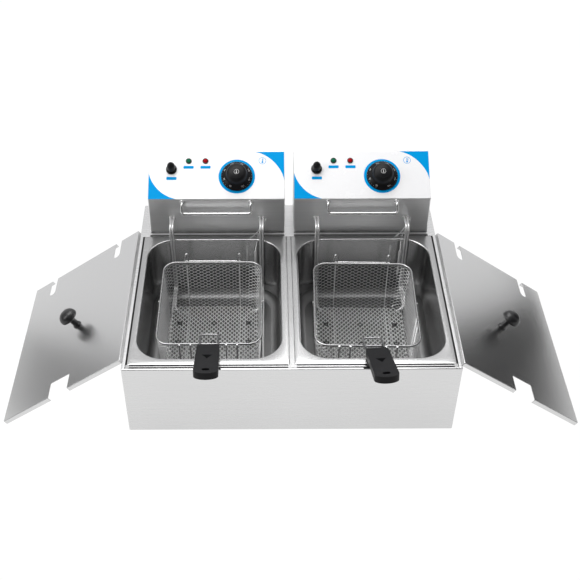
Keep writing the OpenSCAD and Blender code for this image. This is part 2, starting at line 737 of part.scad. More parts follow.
module switch_boot(side) color("black") on_panel(side, -switch_x, switch_s)
    translate([0, 0, pivot_z]) rotate([-lever_lean, 0, 0]) {
        sphere(d = boot_d);
        cylinder(d1 = boot_d - 2, d2 = 9, h = lever_len);
        translate([0, 0, lever_len]) sphere(d = 9.4);
    }
module switch_boot_left() switch_boot(-1);
module switch_boot_right() switch_boot(1);

module lamp(side, x) on_panel(side, x, lamp_s) {
    translate([0, 0, -18]) cylinder(d = lamp_body_d, h = 18 + overlay_t + 0.5);
    translate([0, 0, overlay_t]) rotate_extrude() polygon([[0, 0], [lamp_d / 2, 0],
        [lamp_d / 2, 1.2], [lamp_d / 2 - 1, 2], [lamp_d / 2 - 2.4, 2.6], [0, 3.4]]);
}
module lamp_green_left() color("green") lamp(-1, -green_x);
module lamp_green_right() color("green") lamp(1, -green_x);
module lamp_red_left() color("red") lamp(-1, -red_x);
module lamp_red_right() color("red") lamp(1, -red_x);

module terminal_block(side) color("white") at_head(side) difference() {
    block(cord_gland_x + 26, cord_gland_x + 74, 44, 62, head_sheet, head_sheet + 20);
    for (i = [0 : 2]) translate([cord_gland_x + 35 + i * 15, 53, head_sheet + 8])
        cylinder(d = 6, h = 20);
}
module terminal_block_left() terminal_block(-1);
module terminal_block_right() terminal_block(1);

module cable_gland(side) color("black") at_head(side) translate([cord_gland_x, 0, cord_gland_z])
    difference() {
        union() {
            rod_y(0, cover_y - 7, head_d + gland_out - 4, 0, cord_gland_d);
            translate([0, head_d, 0]) rotate([-90, 0, 0]) cylinder(d = 24, h = 6, $fn = 6);
            translate([0, cover_y - 4, 0]) rotate([-90, 0, 0]) cylinder(d = 24, h = 4, $fn = 6);
            translate([0, head_d + gland_out, 0]) rotate([90, 0, 0])
                cylinder(d1 = 14, d2 = 20, h = gland_out - 6);
        }
        rod_y(0, 0, head_d + gland_out + 1, 0, 9);
    }
module cable_gland_left() cable_gland(-1);
module cable_gland_right() cable_gland(1);

module head_screws(side) color("silver") at_head(side)
    for (x = [-1, 1], z = cover_screw_z) {
        rod_y(x * cover_screw_x, cover_y - 6, head_d + 0.5, z, screw_d);
        rod_y(x * cover_screw_x, head_d, head_d + screw_head_h, z, screw_head_d);
    }
module head_screws_left() head_screws(-1);
module head_screws_right() head_screws(1);

// ---------------------------------------------------------------- baskets
module rim_loop() wire([[0, rim_half_y, 0], [rim_half_x, rim_half_y, 0],
    [rim_half_x, -rim_half_y, 0], [-rim_half_x, -rim_half_y, 0],
    [-rim_half_x, rim_half_y, 0], [0, rim_half_y, 0]], rim_wire, basket_r - rim_wire / 2);

// outside of the woven wall at a height below the rim
function wall_x(z) = rim_half_x + mesh_t / 2 - basket_taper * (mesh_top - z) / (mesh_top - mesh_floor);
function wall_y(z) = rim_half_y + mesh_t / 2 - basket_taper * (mesh_top - z) / (mesh_top - mesh_floor);

module basket_frame(side) color("silver") at_basket(side) {
    off = gap + frame_wire / 2;
    low = frame_z - rim_z;
    y = wall_y(mesh_top) + off;
    x = wall_x(mesh_top) + off;
    rim_loop();
    for (s = [-1, 1]) {
        fx = s * frame_pitch / 2;
        wire([[fx, y, 0], [fx, y, low], [fx, -y, low], [fx, -y, 0]], frame_wire, 4);
        // hook that hangs the basket on the bail
        for (p = [-1, 1]) bar([fx + p * 3.2, rim_half_y, 0.5], [fx, rim_half_y + 8, 11], frame_wire);
        translate([fx, rim_half_y + 8, 11]) sphere(d = frame_wire * 1.25);
    }
    wire([[x, 0, 0], [x, 0, low], [-x, 0, low], [-x, 0, 0]], frame_wire - 0.5, 4);
    // stay under the handle
    wire([[-30, -y, 0], [-30, -y, -38], [30, -y, -38], [30, -y, 0]], frame_wire, 4);
}
module basket_frame_left() basket_frame(-1);
module basket_frame_right() basket_frame(1);

module tapered_box(inset) hull() {
    translate([0, 0, mesh_top - rim_z - film]) linear_extrude(film)
        rounded(2 * (wall_x(mesh_top) - inset), 2 * (wall_y(mesh_top) - inset), basket_r - inset, $fn = 32);
    translate([0, 0, mesh_floor - rim_z]) linear_extrude(film)
        rounded(2 * (wall_x(mesh_floor) - inset), 2 * (wall_y(mesh_floor) - inset),
            basket_r - inset, $fn = 32);
}

// one row of openings round the walls, from both pairs of flat walls to the round corners
module mesh_row(z, h) {
    half_x = wall_x(mesh_floor) - basket_r;
    half_y = wall_y(mesh_floor) - basket_r;
    across = 2 * half_x / mesh_across;
    along = 2 * half_y / mesh_along;
    out = 2 * basket_r;
    corner = basket_r * 30 * PI / 180 - mesh_bar;
    for (i = [0 : mesh_across - 1])
        block(i * across - half_x + mesh_bar / 2, (i + 1) * across - half_x - mesh_bar / 2,
            -half_y - out, half_y + out, z, z + h);
    for (i = [0 : mesh_along - 1])
        block(-half_x - out, half_x + out, i * along - half_y + mesh_bar / 2,
            (i + 1) * along - half_y - mesh_bar / 2, z, z + h);
    for (mx = [0, 1], my = [0, 1], a = [15, 45, 75])
        mirror([mx, 0, 0]) mirror([0, my, 0]) translate([half_x + basket_taper / 2, half_y + basket_taper / 2, z])
            rotate([0, 0, a]) block(basket_r / 2, out, -corner / 2, corner / 2, 0, h);
}

module mesh_openings() {
    low = mesh_floor - rim_z + mesh_t + mesh_bar;
    pitch = (mesh_top - rim_z - low) / mesh_rows;
    for (i = [0 : mesh_rows - 1]) mesh_row(low + i * pitch, pitch - mesh_bar);
    // floor, whose grid is two openings wider each way
    half_x = wall_x(mesh_floor) - 8;
    half_y = wall_y(mesh_floor) - 8;
    across = 2 * half_x / (mesh_across + 2);
    along = 2 * half_y / (mesh_along + 2);
    for (i = [0 : mesh_across + 1], j = [0 : mesh_along + 1])
        block(i * across - half_x + mesh_bar / 2, (i + 1) * across - half_x - mesh_bar / 2,
            j * along - half_y + mesh_bar / 2, (j + 1) * along - half_y - mesh_bar / 2,
            mesh_floor - rim_z - 1, mesh_floor - rim_z + mesh_t + 1);
}

module basket_mesh(side) color("silver") at_basket(side) difference() {
    tapered_box(0);
    translate([0, 0, mesh_t]) tapered_box(mesh_t);
    mesh_openings();
}
module basket_mesh_left() basket_mesh(-1);
module basket_mesh_right() basket_mesh(1);

// ---------------------------------------------------------------- handles
// handle frame: y along the handle with the grip towards -y, z out of its top
module handle_wires(side) color("silver") at_handle(side) {
    half = prong_pitch / 2;
    wire([[-half, -grip_start - prong_seat, 0], [-half, prong_in, 0], [half, prong_in, 0],
        [half, -grip_start - prong_seat, 0]], prong_d, 6);
}
module handle_wires_left() handle_wires(-1);
module handle_wires_right() handle_wires(1);

module handle_grip(side) color("black") at_handle(side) {
    end = -grip_start - grip_len;
    r = grip_end_r;
    difference() {
        translate([0, 0, -grip_t / 2]) linear_extrude(grip_t) hull() {
            translate([0, -grip_start - 4]) rounded(grip_w_root, 8, 3);
            for (s = [-1, 1]) translate([s * (grip_w_end / 2 - r), end + r]) circle(r);
        }
        // bores of the prongs, thumb dimple and hanging slot
        for (s = [-1, 1]) rod_y(s * prong_pitch / 2, -grip_start - prong_seat - 1, 1, 0, prong_d + 0.1);
        translate([0, -grip_len * 0.55, grip_t / 2]) rotate([0, 0, 45])
            cube([9, 9, 5], center = true);
        translate([-3, end + 13, -grip_t]) cylinder(d = 7, h = 2 * grip_t);
        translate([3, end + 13, -grip_t]) cylinder(d = 7, h = 2 * grip_t);
        block(-3, 3, end + 9.5, end + 16.5, -grip_t, grip_t);
    }
}
module handle_grip_left() handle_grip(-1);
module handle_grip_right() handle_grip(1);

// ---------------------------------------------------------------- lids
module lid_cuts() {
    half = lid_len / 2;
    block(lid_notch_x - lid_notch_w / 2, lid_notch_x + lid_notch_w / 2,
        -half - 1, -half + lid_notch_d, -lid_fold - 1, 1);
    for (x = [lid_slot_a, lid_slot_b]) {
        block(x - lid_slot_w / 2, x + lid_slot_w / 2, half - lid_slot_d + lid_slot_w / 2,
            half + 1, -lid_fold - 1, 1);
        translate([x, half - lid_slot_d + lid_slot_w / 2, -lid_fold - 1])
            cylinder(d = lid_slot_w, h = lid_fold + 2);
    }
}

module lid_panel(side) color("lightgrey") at_lid(side) difference() {
    block(0, lid_w, -lid_len / 2, lid_len / 2, -lid_fold, 0);
    block(lid_sheet, lid_w - lid_sheet, -lid_len / 2 + lid_sheet, lid_len / 2 - lid_sheet,
        -lid_fold - 1, -lid_sheet);
    lid_cuts();
    translate([lid_knob_x, lid_knob_y, -lid_fold]) cylinder(d = 5, h = lid_fold + 1);
}
module lid_panel_left() lid_panel(-1);
module lid_panel_right() lid_panel(1);

module lid_knob(side) color("black") at_lid(side) translate([lid_knob_x, lid_knob_y, 0]) difference() {
    r = lid_knob_d / 2;
    h = lid_knob_h;
    rotate_extrude() polygon([[0, 0], [r - 4.5, 0], [r - 4.5, 1.2], [r - 6.5, 3.5],
        [r - 9.5, 7], [r - 11.5, 11], [r - 12, h - 21], [r - 11, h - 17.5],
        [r - 7.5, h - 14.5], [r - 2, h - 12.6], [r, h - 11], [r - 0.5, h - 8.5],
        [r - 3, h - 4.8], [r - 7.5, h - 1.8], [r - 12.5, h - 0.4], [0, h]]);
    translate([0, 0, -1]) cylinder(d = 4.1, h = 15);
}
module lid_knob_left() lid_knob(-1);
module lid_knob_right() lid_knob(1);

module lid_knob_screw(side) color("silver") at_lid(side)
    translate([lid_knob_x, lid_knob_y, -lid_sheet - 2.2]) {
        cylinder(d = 8, h = 2.2);
        cylinder(d = 4, h = 2.2 + lid_sheet + 13);
    }
module lid_knob_screw_left() lid_knob_screw(-1);
module lid_knob_screw_right() lid_knob_screw(1);

// ---------------------------------------------------------------- assembly
outer_casing();
base_plate();
centre_divider();
rubber_feet();
base_screws();
tank_left();
tank_right();
head_shell_left();
head_back_cover_left();
control_overlay_left();
basket_bail_left();
heating_element_left();
element_glands_left();
thermostat_left();
thermostat_shaft_left();
limit_cutout_left();
sensor_bulbs_left();
switch_housing_left();
switch_boot_left();
lamp_green_left();
lamp_red_left();
thermostat_knob_left();
terminal_block_left();
cable_gland_left();
head_screws_left();
head_shell_right();
head_back_cover_right();
control_overlay_right();
basket_bail_right();
heating_element_right();
element_glands_right();
thermostat_right();
thermostat_shaft_right();
limit_cutout_right();
sensor_bulbs_right();
switch_housing_right();
switch_boot_right();
lamp_green_right();
lamp_red_right();
thermostat_knob_right();
terminal_block_right();
cable_gland_right();
head_screws_right();
basket_frame_left();
basket_mesh_left();
handle_wires_left();
handle_grip_left();
basket_frame_right();
basket_mesh_right();
handle_wires_right();
handle_grip_right();
lid_panel_left();
lid_knob_left();
lid_knob_screw_left();
lid_panel_right();
lid_knob_right();
lid_knob_screw_right();
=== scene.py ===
import math
import bmesh
import bpy
from mathutils import Matrix, Vector


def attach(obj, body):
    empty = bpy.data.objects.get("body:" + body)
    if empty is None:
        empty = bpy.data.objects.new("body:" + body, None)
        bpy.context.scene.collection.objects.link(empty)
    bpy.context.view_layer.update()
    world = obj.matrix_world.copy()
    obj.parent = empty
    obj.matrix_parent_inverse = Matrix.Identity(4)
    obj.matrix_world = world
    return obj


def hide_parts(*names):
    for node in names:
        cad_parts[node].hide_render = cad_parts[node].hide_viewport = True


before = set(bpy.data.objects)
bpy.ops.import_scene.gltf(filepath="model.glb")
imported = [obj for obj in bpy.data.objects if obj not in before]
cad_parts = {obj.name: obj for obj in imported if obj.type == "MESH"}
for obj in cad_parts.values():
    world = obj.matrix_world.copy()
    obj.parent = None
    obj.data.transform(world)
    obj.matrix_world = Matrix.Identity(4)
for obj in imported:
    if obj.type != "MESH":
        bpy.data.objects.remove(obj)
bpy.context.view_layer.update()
mm = 0.001
sides = {"left": -1, "right": 1}


def stageNote(text):
    print("scene:", text)


# places shared by the pieces, in millimetres
layout = {
    "shiftY": 24.459, "top": 160.0,
    "headX": {"left": -134.0, "right": 138.0}, "headY": 137.0,
    "panelAngle": 31.88, "panelFoot": (0.0, 4.0, 74.5), "panelLength": 96.57,
    "tankX": 138.15, "tankY": -41.75,
    "basketX": {"left": -139.5, "right": 131.95},
    "basketY": {"left": -55.25, "right": -60.95},
    "basketTurn": {"left": 0.0, "right": -1.4},
    "rimZ": 157.5, "handleTurn": {"left": 0.0, "right": 6.5}, "handleRise": 17.0,
    "handleX": {"left": 1.5, "right": 8.5}, "handleY": -106.25, "handlePull": {"left": 0.0, "right": 7.0},
    "handleLift": {"left": 5.05, "right": 5.59},
    "lidX": 284.892, "lidY": {"left": -28.5, "right": -38.0}, "lidTop": 159.8, "lidAngle": 35.027,
}


def shift(x, y, z):
    return Matrix.Translation(Vector((x, y, z)) * mm)


def turn(degrees, axis):
    return Matrix.Rotation(math.radians(degrees), 4, axis)


def along(y):
    return y + layout["shiftY"]


def headFrame(side):
    return shift(layout["headX"][side], along(layout["headY"]), layout["top"])


def panelFrame(side, u=0.0, s=0.0):
    foot = headFrame(side) @ shift(*layout["panelFoot"])
    return foot @ turn(layout["panelAngle"], "X") @ shift(u, s, 0)


def basketFrame(side):
    place = shift(layout["basketX"][side], along(layout["basketY"][side]), layout["rimZ"])
    return place @ turn(layout["basketTurn"][side], "Z")


def handleFrame(side):
    root = basketFrame(side) @ shift(layout["handleX"][side], layout["handleY"], 0)
    raised = root @ turn(layout["handleTurn"][side], "Z") @ turn(-layout["handleRise"], "X")
    return raised @ shift(0, -layout["handlePull"][side], layout["handleLift"][side])


def lidFrame(side):
    sign = sides[side]
    place = shift(sign * layout["lidX"], along(layout["lidY"][side]), layout["lidTop"])
    return place @ turn(sign * layout["lidAngle"], "Y")


# mesh helpers, all in millimetres
def addBox(bm, x0, x1, y0, y1, z0, z1):
    corners = [bm.verts.new((x, y, z)) for z in (z0, z1) for y in (y0, y1) for x in (x0, x1)]
    for ring in ((0, 2, 3, 1), (4, 5, 7, 6), (0, 1, 5, 4), (2, 6, 7, 3), (0, 4, 6, 2), (1, 3, 7, 5)):
        bm.faces.new([corners[i] for i in ring])
    return corners


def addPrism(bm, outline, low, high, axis="Z"):
    rings = [[bm.verts.new((c, a, b) if axis == "X" else (a, b, c)) for a, b in outline] for c in (low, high)]
    bm.faces.new(list(reversed(rings[0])))
    bm.faces.new(rings[1])
    count = len(outline)
    for i in range(count):
        j = (i + 1) % count
        bm.faces.new((rings[0][i], rings[0][j], rings[1][j], rings[1][i]))


def addLoft(bm, rings, caps=(False, False), wrap=False):
    made = [[bm.verts.new(p) for p in ring] for ring in rings]
    count = len(made[0])
    last = len(made) if wrap else len(made) - 1
    for k in range(last):
        a, b = made[k], made[(k + 1) % len(made)]
        for i in range(count):
            j = (i + 1) % count
            bm.faces.new((a[i], a[j], b[j], b[i]))
    if caps[0]:
        bm.faces.new(list(reversed(made[0])))
    if caps[1]:
        bm.faces.new(made[-1])


def circle(radius, segments, centre=(0, 0), z=0.0):
    angles = [2 * math.pi * i / segments for i in range(segments)]
    return [(centre[0] + radius * math.cos(a), centre[1] + radius * math.sin(a), z) for a in angles]


def addLathe(bm, profile, segments=48, centre=(0, 0, 0)):
    rings = [circle(max(r, 0.01), segments, centre, centre[2] + z) for r, z in profile]
    addLoft(bm, rings, caps=(True, True))


# a flat ring with a rectangular section, from its outer radius in to its inner one
def addRing(bm, outer, inner, low, high, segments, centre=(0, 0)):
    section = ((outer, low), (outer, high), (inner, high), (inner, low))
    addLoft(bm, [circle(r, segments, centre, z) for r, z in section], wrap=True)


# turned rings that stand on an upright face, one at each place
def addTurned(bm, profile, segments, degrees, places):
    for place in places:
        part = bmesh.new()
        addLathe(part, profile, segments)
        tilt = Matrix.Rotation(math.radians(degrees), 3, "X")
        bmesh.ops.rotate(part, verts=part.verts, cent=(0, 0, 0), matrix=tilt)
        bmesh.ops.translate(part, verts=part.verts, vec=place)
        mesh = bpy.data.meshes.new("turned")
        part.to_mesh(mesh)
        part.free()
        bm.from_mesh(mesh)
        bpy.data.meshes.remove(mesh)


def roundPath(points, radius, steps=6, closed=False):
    points = [Vector(p) for p in points]
    count = len(points)
    result = []
    for i, p in enumerate(points):
        if not closed and i in (0, count - 1):
            result.append(p)
            continue
        a, b = points[i - 1], points[(i + 1) % count]
        u, v = (a - p), (b - p)
        angle = u.angle(v)
        back = min(radius / math.tan(angle / 2), u.length * 0.48, v.length * 0.48)
        u.normalize()
        v.normalize()
        bend = back * math.tan(angle / 2)
        centre = p + (u + v).normalized() * (bend / math.sin(angle / 2))
        start, end = p + u * back - centre, p + v * back - centre
        sweep = start.angle(end)
        for k in range(steps + 1):
            t = k / steps
            spoke = start * math.sin((1 - t) * sweep) + end * math.sin(t * sweep)
            result.append(centre + spoke / math.sin(sweep))
    return result


def addTube(bm, path, radius, facets=10, closed=False):
    path = [Vector(p) for p in path]
    count = len(path)
    normal = None
    rings = []
    for i, p in enumerate(path):
        if closed:
            tangent = (path[(i + 1) % count] - path[i - 1]).normalized()
        else:
            tangent = (path[min(i + 1, count - 1)] - path[max(i - 1, 0)]).normalized()
        if normal is None:
            normal = tangent.orthogonal().normalized()
            if closed and abs(tangent.z) < 0.9:
                normal = Vector((0, 0, 1))
        normal = (normal - tangent * normal.dot(tangent)).normalized()
        side = tangent.cross(normal)
        angles = [2 * math.pi * k / facets for k in range(facets)]
        rings.append([p + (normal * math.cos(a) + side * math.sin(a)) * radius for a in angles])
    addLoft(bm, rings, caps=(False, False) if closed else (True, True), wrap=closed)


def roundRect(x0, x1, y0, y1, radius, steps=8, z=0.0):
    ring = []
    low, high = (x0 + radius, y0 + radius), (x1 - radius, y1 - radius)
    corners = ((high[0], high[1], 0), (low[0], high[1], 90), (low[0], low[1], 180), (high[0], low[1], 270))
    for cx, cy, start in corners:
        for k in range(steps + 1):
            a = math.radians(start + 90 * k / steps)
            ring.append((cx + radius * math.cos(a), cy + radius * math.sin(a), z))
    return ring


def roundOutline(x0, x1, y0, y1, radius, steps, mirror=1):
    return [(x * mirror, y) for x, y, z in roundRect(x0, x1, y0, y1, radius, steps)]


def discOutline(cx, cy, radius, segments):
    return [(x, y) for x, y, z in circle(radius, segments, (cx, cy))]


def bevelEdges(bm, width, segments=2, angle=25):
    least = math.radians(angle)
    sharp = [e for e in bm.edges if len(e.link_faces) == 2 and e.calc_face_angle(0) > least]
    bmesh.ops.bevel(bm, geom=sharp, offset=width, segments=segments, profile=0.5, affect="EDGES",
                    clamp_overlap=True)


def makePiece(name, bm, material, body, nodes=(), matrix=None, smooth=40, weighted=False):
    bmesh.ops.recalc_face_normals(bm, faces=bm.faces)
    bmesh.ops.scale(bm, vec=(mm, mm, mm), verts=bm.verts)
    mesh = bpy.data.meshes.new(name)
    bm.to_mesh(mesh)
    bm.free()
    if matrix is not None:
        mesh.transform(matrix)
    mesh.shade_smooth()
    mesh.set_sharp_from_angle(angle=math.radians(smooth))
    piece = bpy.data.objects.new(name, mesh)
    bpy.context.scene.collection.objects.link(piece)
    mesh.materials.append(material)
    if weighted:
        piece.modifiers.new("weighted", "WEIGHTED_NORMAL").keep_sharp = True
    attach(piece, body)
    if nodes:
        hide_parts(*nodes)
    return piece


def carve(piece, cutters, place=None):
    for cut in cutters:
        bmesh.ops.recalc_face_normals(cut, faces=cut.faces)
        bmesh.ops.scale(cut, vec=(mm, mm, mm), verts=cut.verts)
        mesh = bpy.data.meshes.new("cutter")
        cut.to_mesh(mesh)
        cut.free()
        if place is not None:
            mesh.transform(place)
        cutter = bpy.data.objects.new("cutter", mesh)
        bpy.context.scene.collection.objects.link(cutter)
        modifier = piece.modifiers.new("carve", "BOOLEAN")
        modifier.operation, modifier.object, modifier.solver = "DIFFERENCE", cutter, "EXACT"
        settled = bpy.data.meshes.new_from_object(piece.evaluated_get(bpy.context.evaluated_depsgraph_get()))
        piece.modifiers.clear()
        piece.data = settled
        bpy.data.objects.remove(cutter)


def resmooth(piece, angle, weighted=False):
    piece.data.shade_smooth()
    piece.data.set_sharp_from_angle(angle=math.radians(angle))
    if weighted:
        piece.modifiers.new("weighted", "WEIGHTED_NORMAL").keep_sharp = True


# material helpers
def newGroup(name, inputs, outputs):
    tree = bpy.data.node_groups.new(name, "ShaderNodeTree")
    for label, kind, value in inputs:
        socket = tree.interface.new_socket(label, in_out="INPUT", socket_type=kind)
        socket.default_value = value
    for label, kind in outputs:
        tree.interface.new_socket(label, in_out="OUTPUT", socket_type=kind)
    return tree, tree.nodes.new("NodeGroupInput"), tree.nodes.new("NodeGroupOutput")


def addNode(tree, kind, values=None, **settings):
    node = tree.nodes.new(kind)
    for key, value in settings.items():
        setattr(node, key, value)
    for key, value in (values or {}).items():
        node.inputs[key].default_value = value
    return node


def mixColour(tree, factor, a, b):
    node = addNode(tree, "ShaderNodeMix", data_type="RGBA")
    for socket, source in ((node.inputs[0], factor), (node.inputs[6], a), (node.inputs[7], b)):
        if isinstance(source, bpy.types.NodeSocket):
            tree.links.new(source, socket)
        else:
            socket.default_value = source
    return node.outputs[2]


def mapRange(tree, source, low, high, toLow, toHigh):
    node = addNode(tree, "ShaderNodeMapRange", {1: low, 2: high})
    tree.links.new(source, node.inputs[0])
    for index, value in ((3, toLow), (4, toHigh)):
        if isinstance(value, bpy.types.NodeSocket):
            tree.links.new(value, node.inputs[index])
        else:
            node.inputs[index].default_value = value
    return node.outputs[0]


# long fine streaks along one axis, soft cloudy handling marks, and the matching bump
def brushedGroup():
    tree, source, sink = newGroup("brushedSteelMaps", [
        ("Grain", "NodeSocketVector", (6, 700, 700)), ("Light", "NodeSocketColor", (0.8, 0.8, 0.8, 1)),
        ("Dark", "NodeSocketColor", (0.6, 0.6, 0.6, 1)), ("Smooth", "NodeSocketFloat", 0.2),
        ("Rough", "NodeSocketFloat", 0.4), ("Depth", "NodeSocketFloat", 0.1)],
        [("Color", "NodeSocketColor"), ("Roughness", "NodeSocketFloat"), ("Normal", "NodeSocketVector")])
    place = addNode(tree, "ShaderNodeTexCoord")
    scaled = addNode(tree, "ShaderNodeVectorMath", operation="MULTIPLY")
    tree.links.new(place.outputs["Object"], scaled.inputs[0])
    tree.links.new(source.outputs["Grain"], scaled.inputs[1])
    streaks = addNode(tree, "ShaderNodeTexNoise", {"Scale": 1.0, "Detail": 4.0, "Roughness": 0.65})
    tree.links.new(scaled.outputs[0], streaks.inputs["Vector"])
    clouds = addNode(tree, "ShaderNodeTexNoise", {"Scale": 7.0, "Detail": 3.0, "Roughness": 0.5})
    tree.links.new(place.outputs["Object"], clouds.inputs["Vector"])
    streakMask = mapRange(tree, streaks.outputs["Fac"], 0.3, 0.7, 0.0, 1.0)
    cloudMask = mapRange(tree, clouds.outputs["Fac"], 0.35, 0.7, 0.0, 1.0)
    colour = mixColour(tree, streakMask, source.outputs["Dark"], source.outputs["Light"])
    tree.links.new(colour, sink.inputs["Color"])
    blend = addNode(tree, "ShaderNodeMath", {1: 0.35}, operation="MULTIPLY_ADD")
    tree.links.new(cloudMask, blend.inputs[0])
    half = addNode(tree, "ShaderNodeMath", {1: 0.65}, operation="MULTIPLY")
    tree.links.new(streakMask, half.inputs[0])
    tree.links.new(half.outputs[0], blend.inputs[2])
    gloss = mapRange(tree, blend.outputs[0], 0.0, 1.0, source.outputs["Smooth"], source.outputs["Rough"])
    tree.links.new(gloss, sink.inputs["Roughness"])
    bump = addNode(tree, "ShaderNodeBump", {"Distance": 0.0002})
    tree.links.new(source.outputs["Depth"], bump.inputs["Strength"])
    tree.links.new(streaks.outputs["Fac"], bump.inputs["Height"])
    tree.links.new(bump.outputs[0], sink.inputs["Normal"])
    return tree


# fine moulded texture with dust-like colour change
def mouldedGroup():
    tree, source, sink = newGroup("mouldedMaps", [
        ("Base", "NodeSocketColor", (0.03, 0.03, 0.03, 1)),
        ("Worn", "NodeSocketColor", (0.06, 0.06, 0.06, 1)),
        ("Smooth", "NodeSocketFloat", 0.3), ("Rough", "NodeSocketFloat", 0.5),
        ("Fineness", "NodeSocketFloat", 1200.0), ("Depth", "NodeSocketFloat", 0.1)],
        [("Color", "NodeSocketColor"), ("Roughness", "NodeSocketFloat"), ("Normal", "NodeSocketVector")])
    place = addNode(tree, "ShaderNodeTexCoord")
    grain = addNode(tree, "ShaderNodeTexNoise", {"Detail": 2.0})
    tree.links.new(place.outputs["Object"], grain.inputs["Vector"])
    tree.links.new(source.outputs["Fineness"], grain.inputs["Scale"])
    marks = addNode(tree, "ShaderNodeTexNoise", {"Scale": 60.0, "Detail": 4.0, "Roughness": 0.6})
    tree.links.new(place.outputs["Object"], marks.inputs["Vector"])
    markMask = mapRange(tree, marks.outputs["Fac"], 0.42, 0.75, 0.0, 1.0)
    colour = mixColour(tree, markMask, source.outputs["Base"], source.outputs["Worn"])
    tree.links.new(colour, sink.inputs["Color"])
    gloss = mapRange(tree, markMask, 0.0, 1.0, source.outputs["Smooth"], source.outputs["Rough"])
    tree.links.new(gloss, sink.inputs["Roughness"])
    bump = addNode(tree, "ShaderNodeBump", {"Distance": 0.0002})
    tree.links.new(source.outputs["Depth"], bump.inputs["Strength"])
    tree.links.new(grain.outputs["Fac"], bump.inputs["Height"])
    tree.links.new(bump.outputs[0], sink.inputs["Normal"])
    return tree


brushedMaps = brushedGroup()
mouldedMaps = mouldedGroup()


def newMaterial(name, group, values, shader):
    material = bpy.data.materials.new(name)
    material.use_nodes = True
    tree = material.node_tree
    principled = tree.nodes["Principled BSDF"]
    maps = tree.nodes.new("ShaderNodeGroup")
    maps.node_tree = group
    for key, value in values.items():
        maps.inputs[key].default_value = value
    for key, target in (("Color", "Base Color"), ("Roughness", "Roughness"), ("Normal", "Normal")):
        tree.links.new(maps.outputs[key], principled.inputs[target])
    for key, value in shader.items():
        principled.inputs[key].default_value = value
    return material


def grey(value):
    return (value, value, value, 1)


def steel(name, light, dark, smooth, rough, grain, depth, metal=1.0):
    maps = {"Grain": grain, "Light": grey(light), "Dark": grey(dark), "Smooth": smooth, "Rough": rough,
            "Depth": depth}
    return newMaterial(name, brushedMaps, maps, {"Metallic": metal})


def moulded(name, base, worn, smooth, rough, fineness, depth, specular=0.5):
    maps = {"Base": base, "Worn": worn, "Smooth": smooth, "Rough": rough, "Fineness": fineness,
            "Depth": depth}
    return newMaterial(name, mouldedMaps, maps, {"Specular IOR Level": specular})


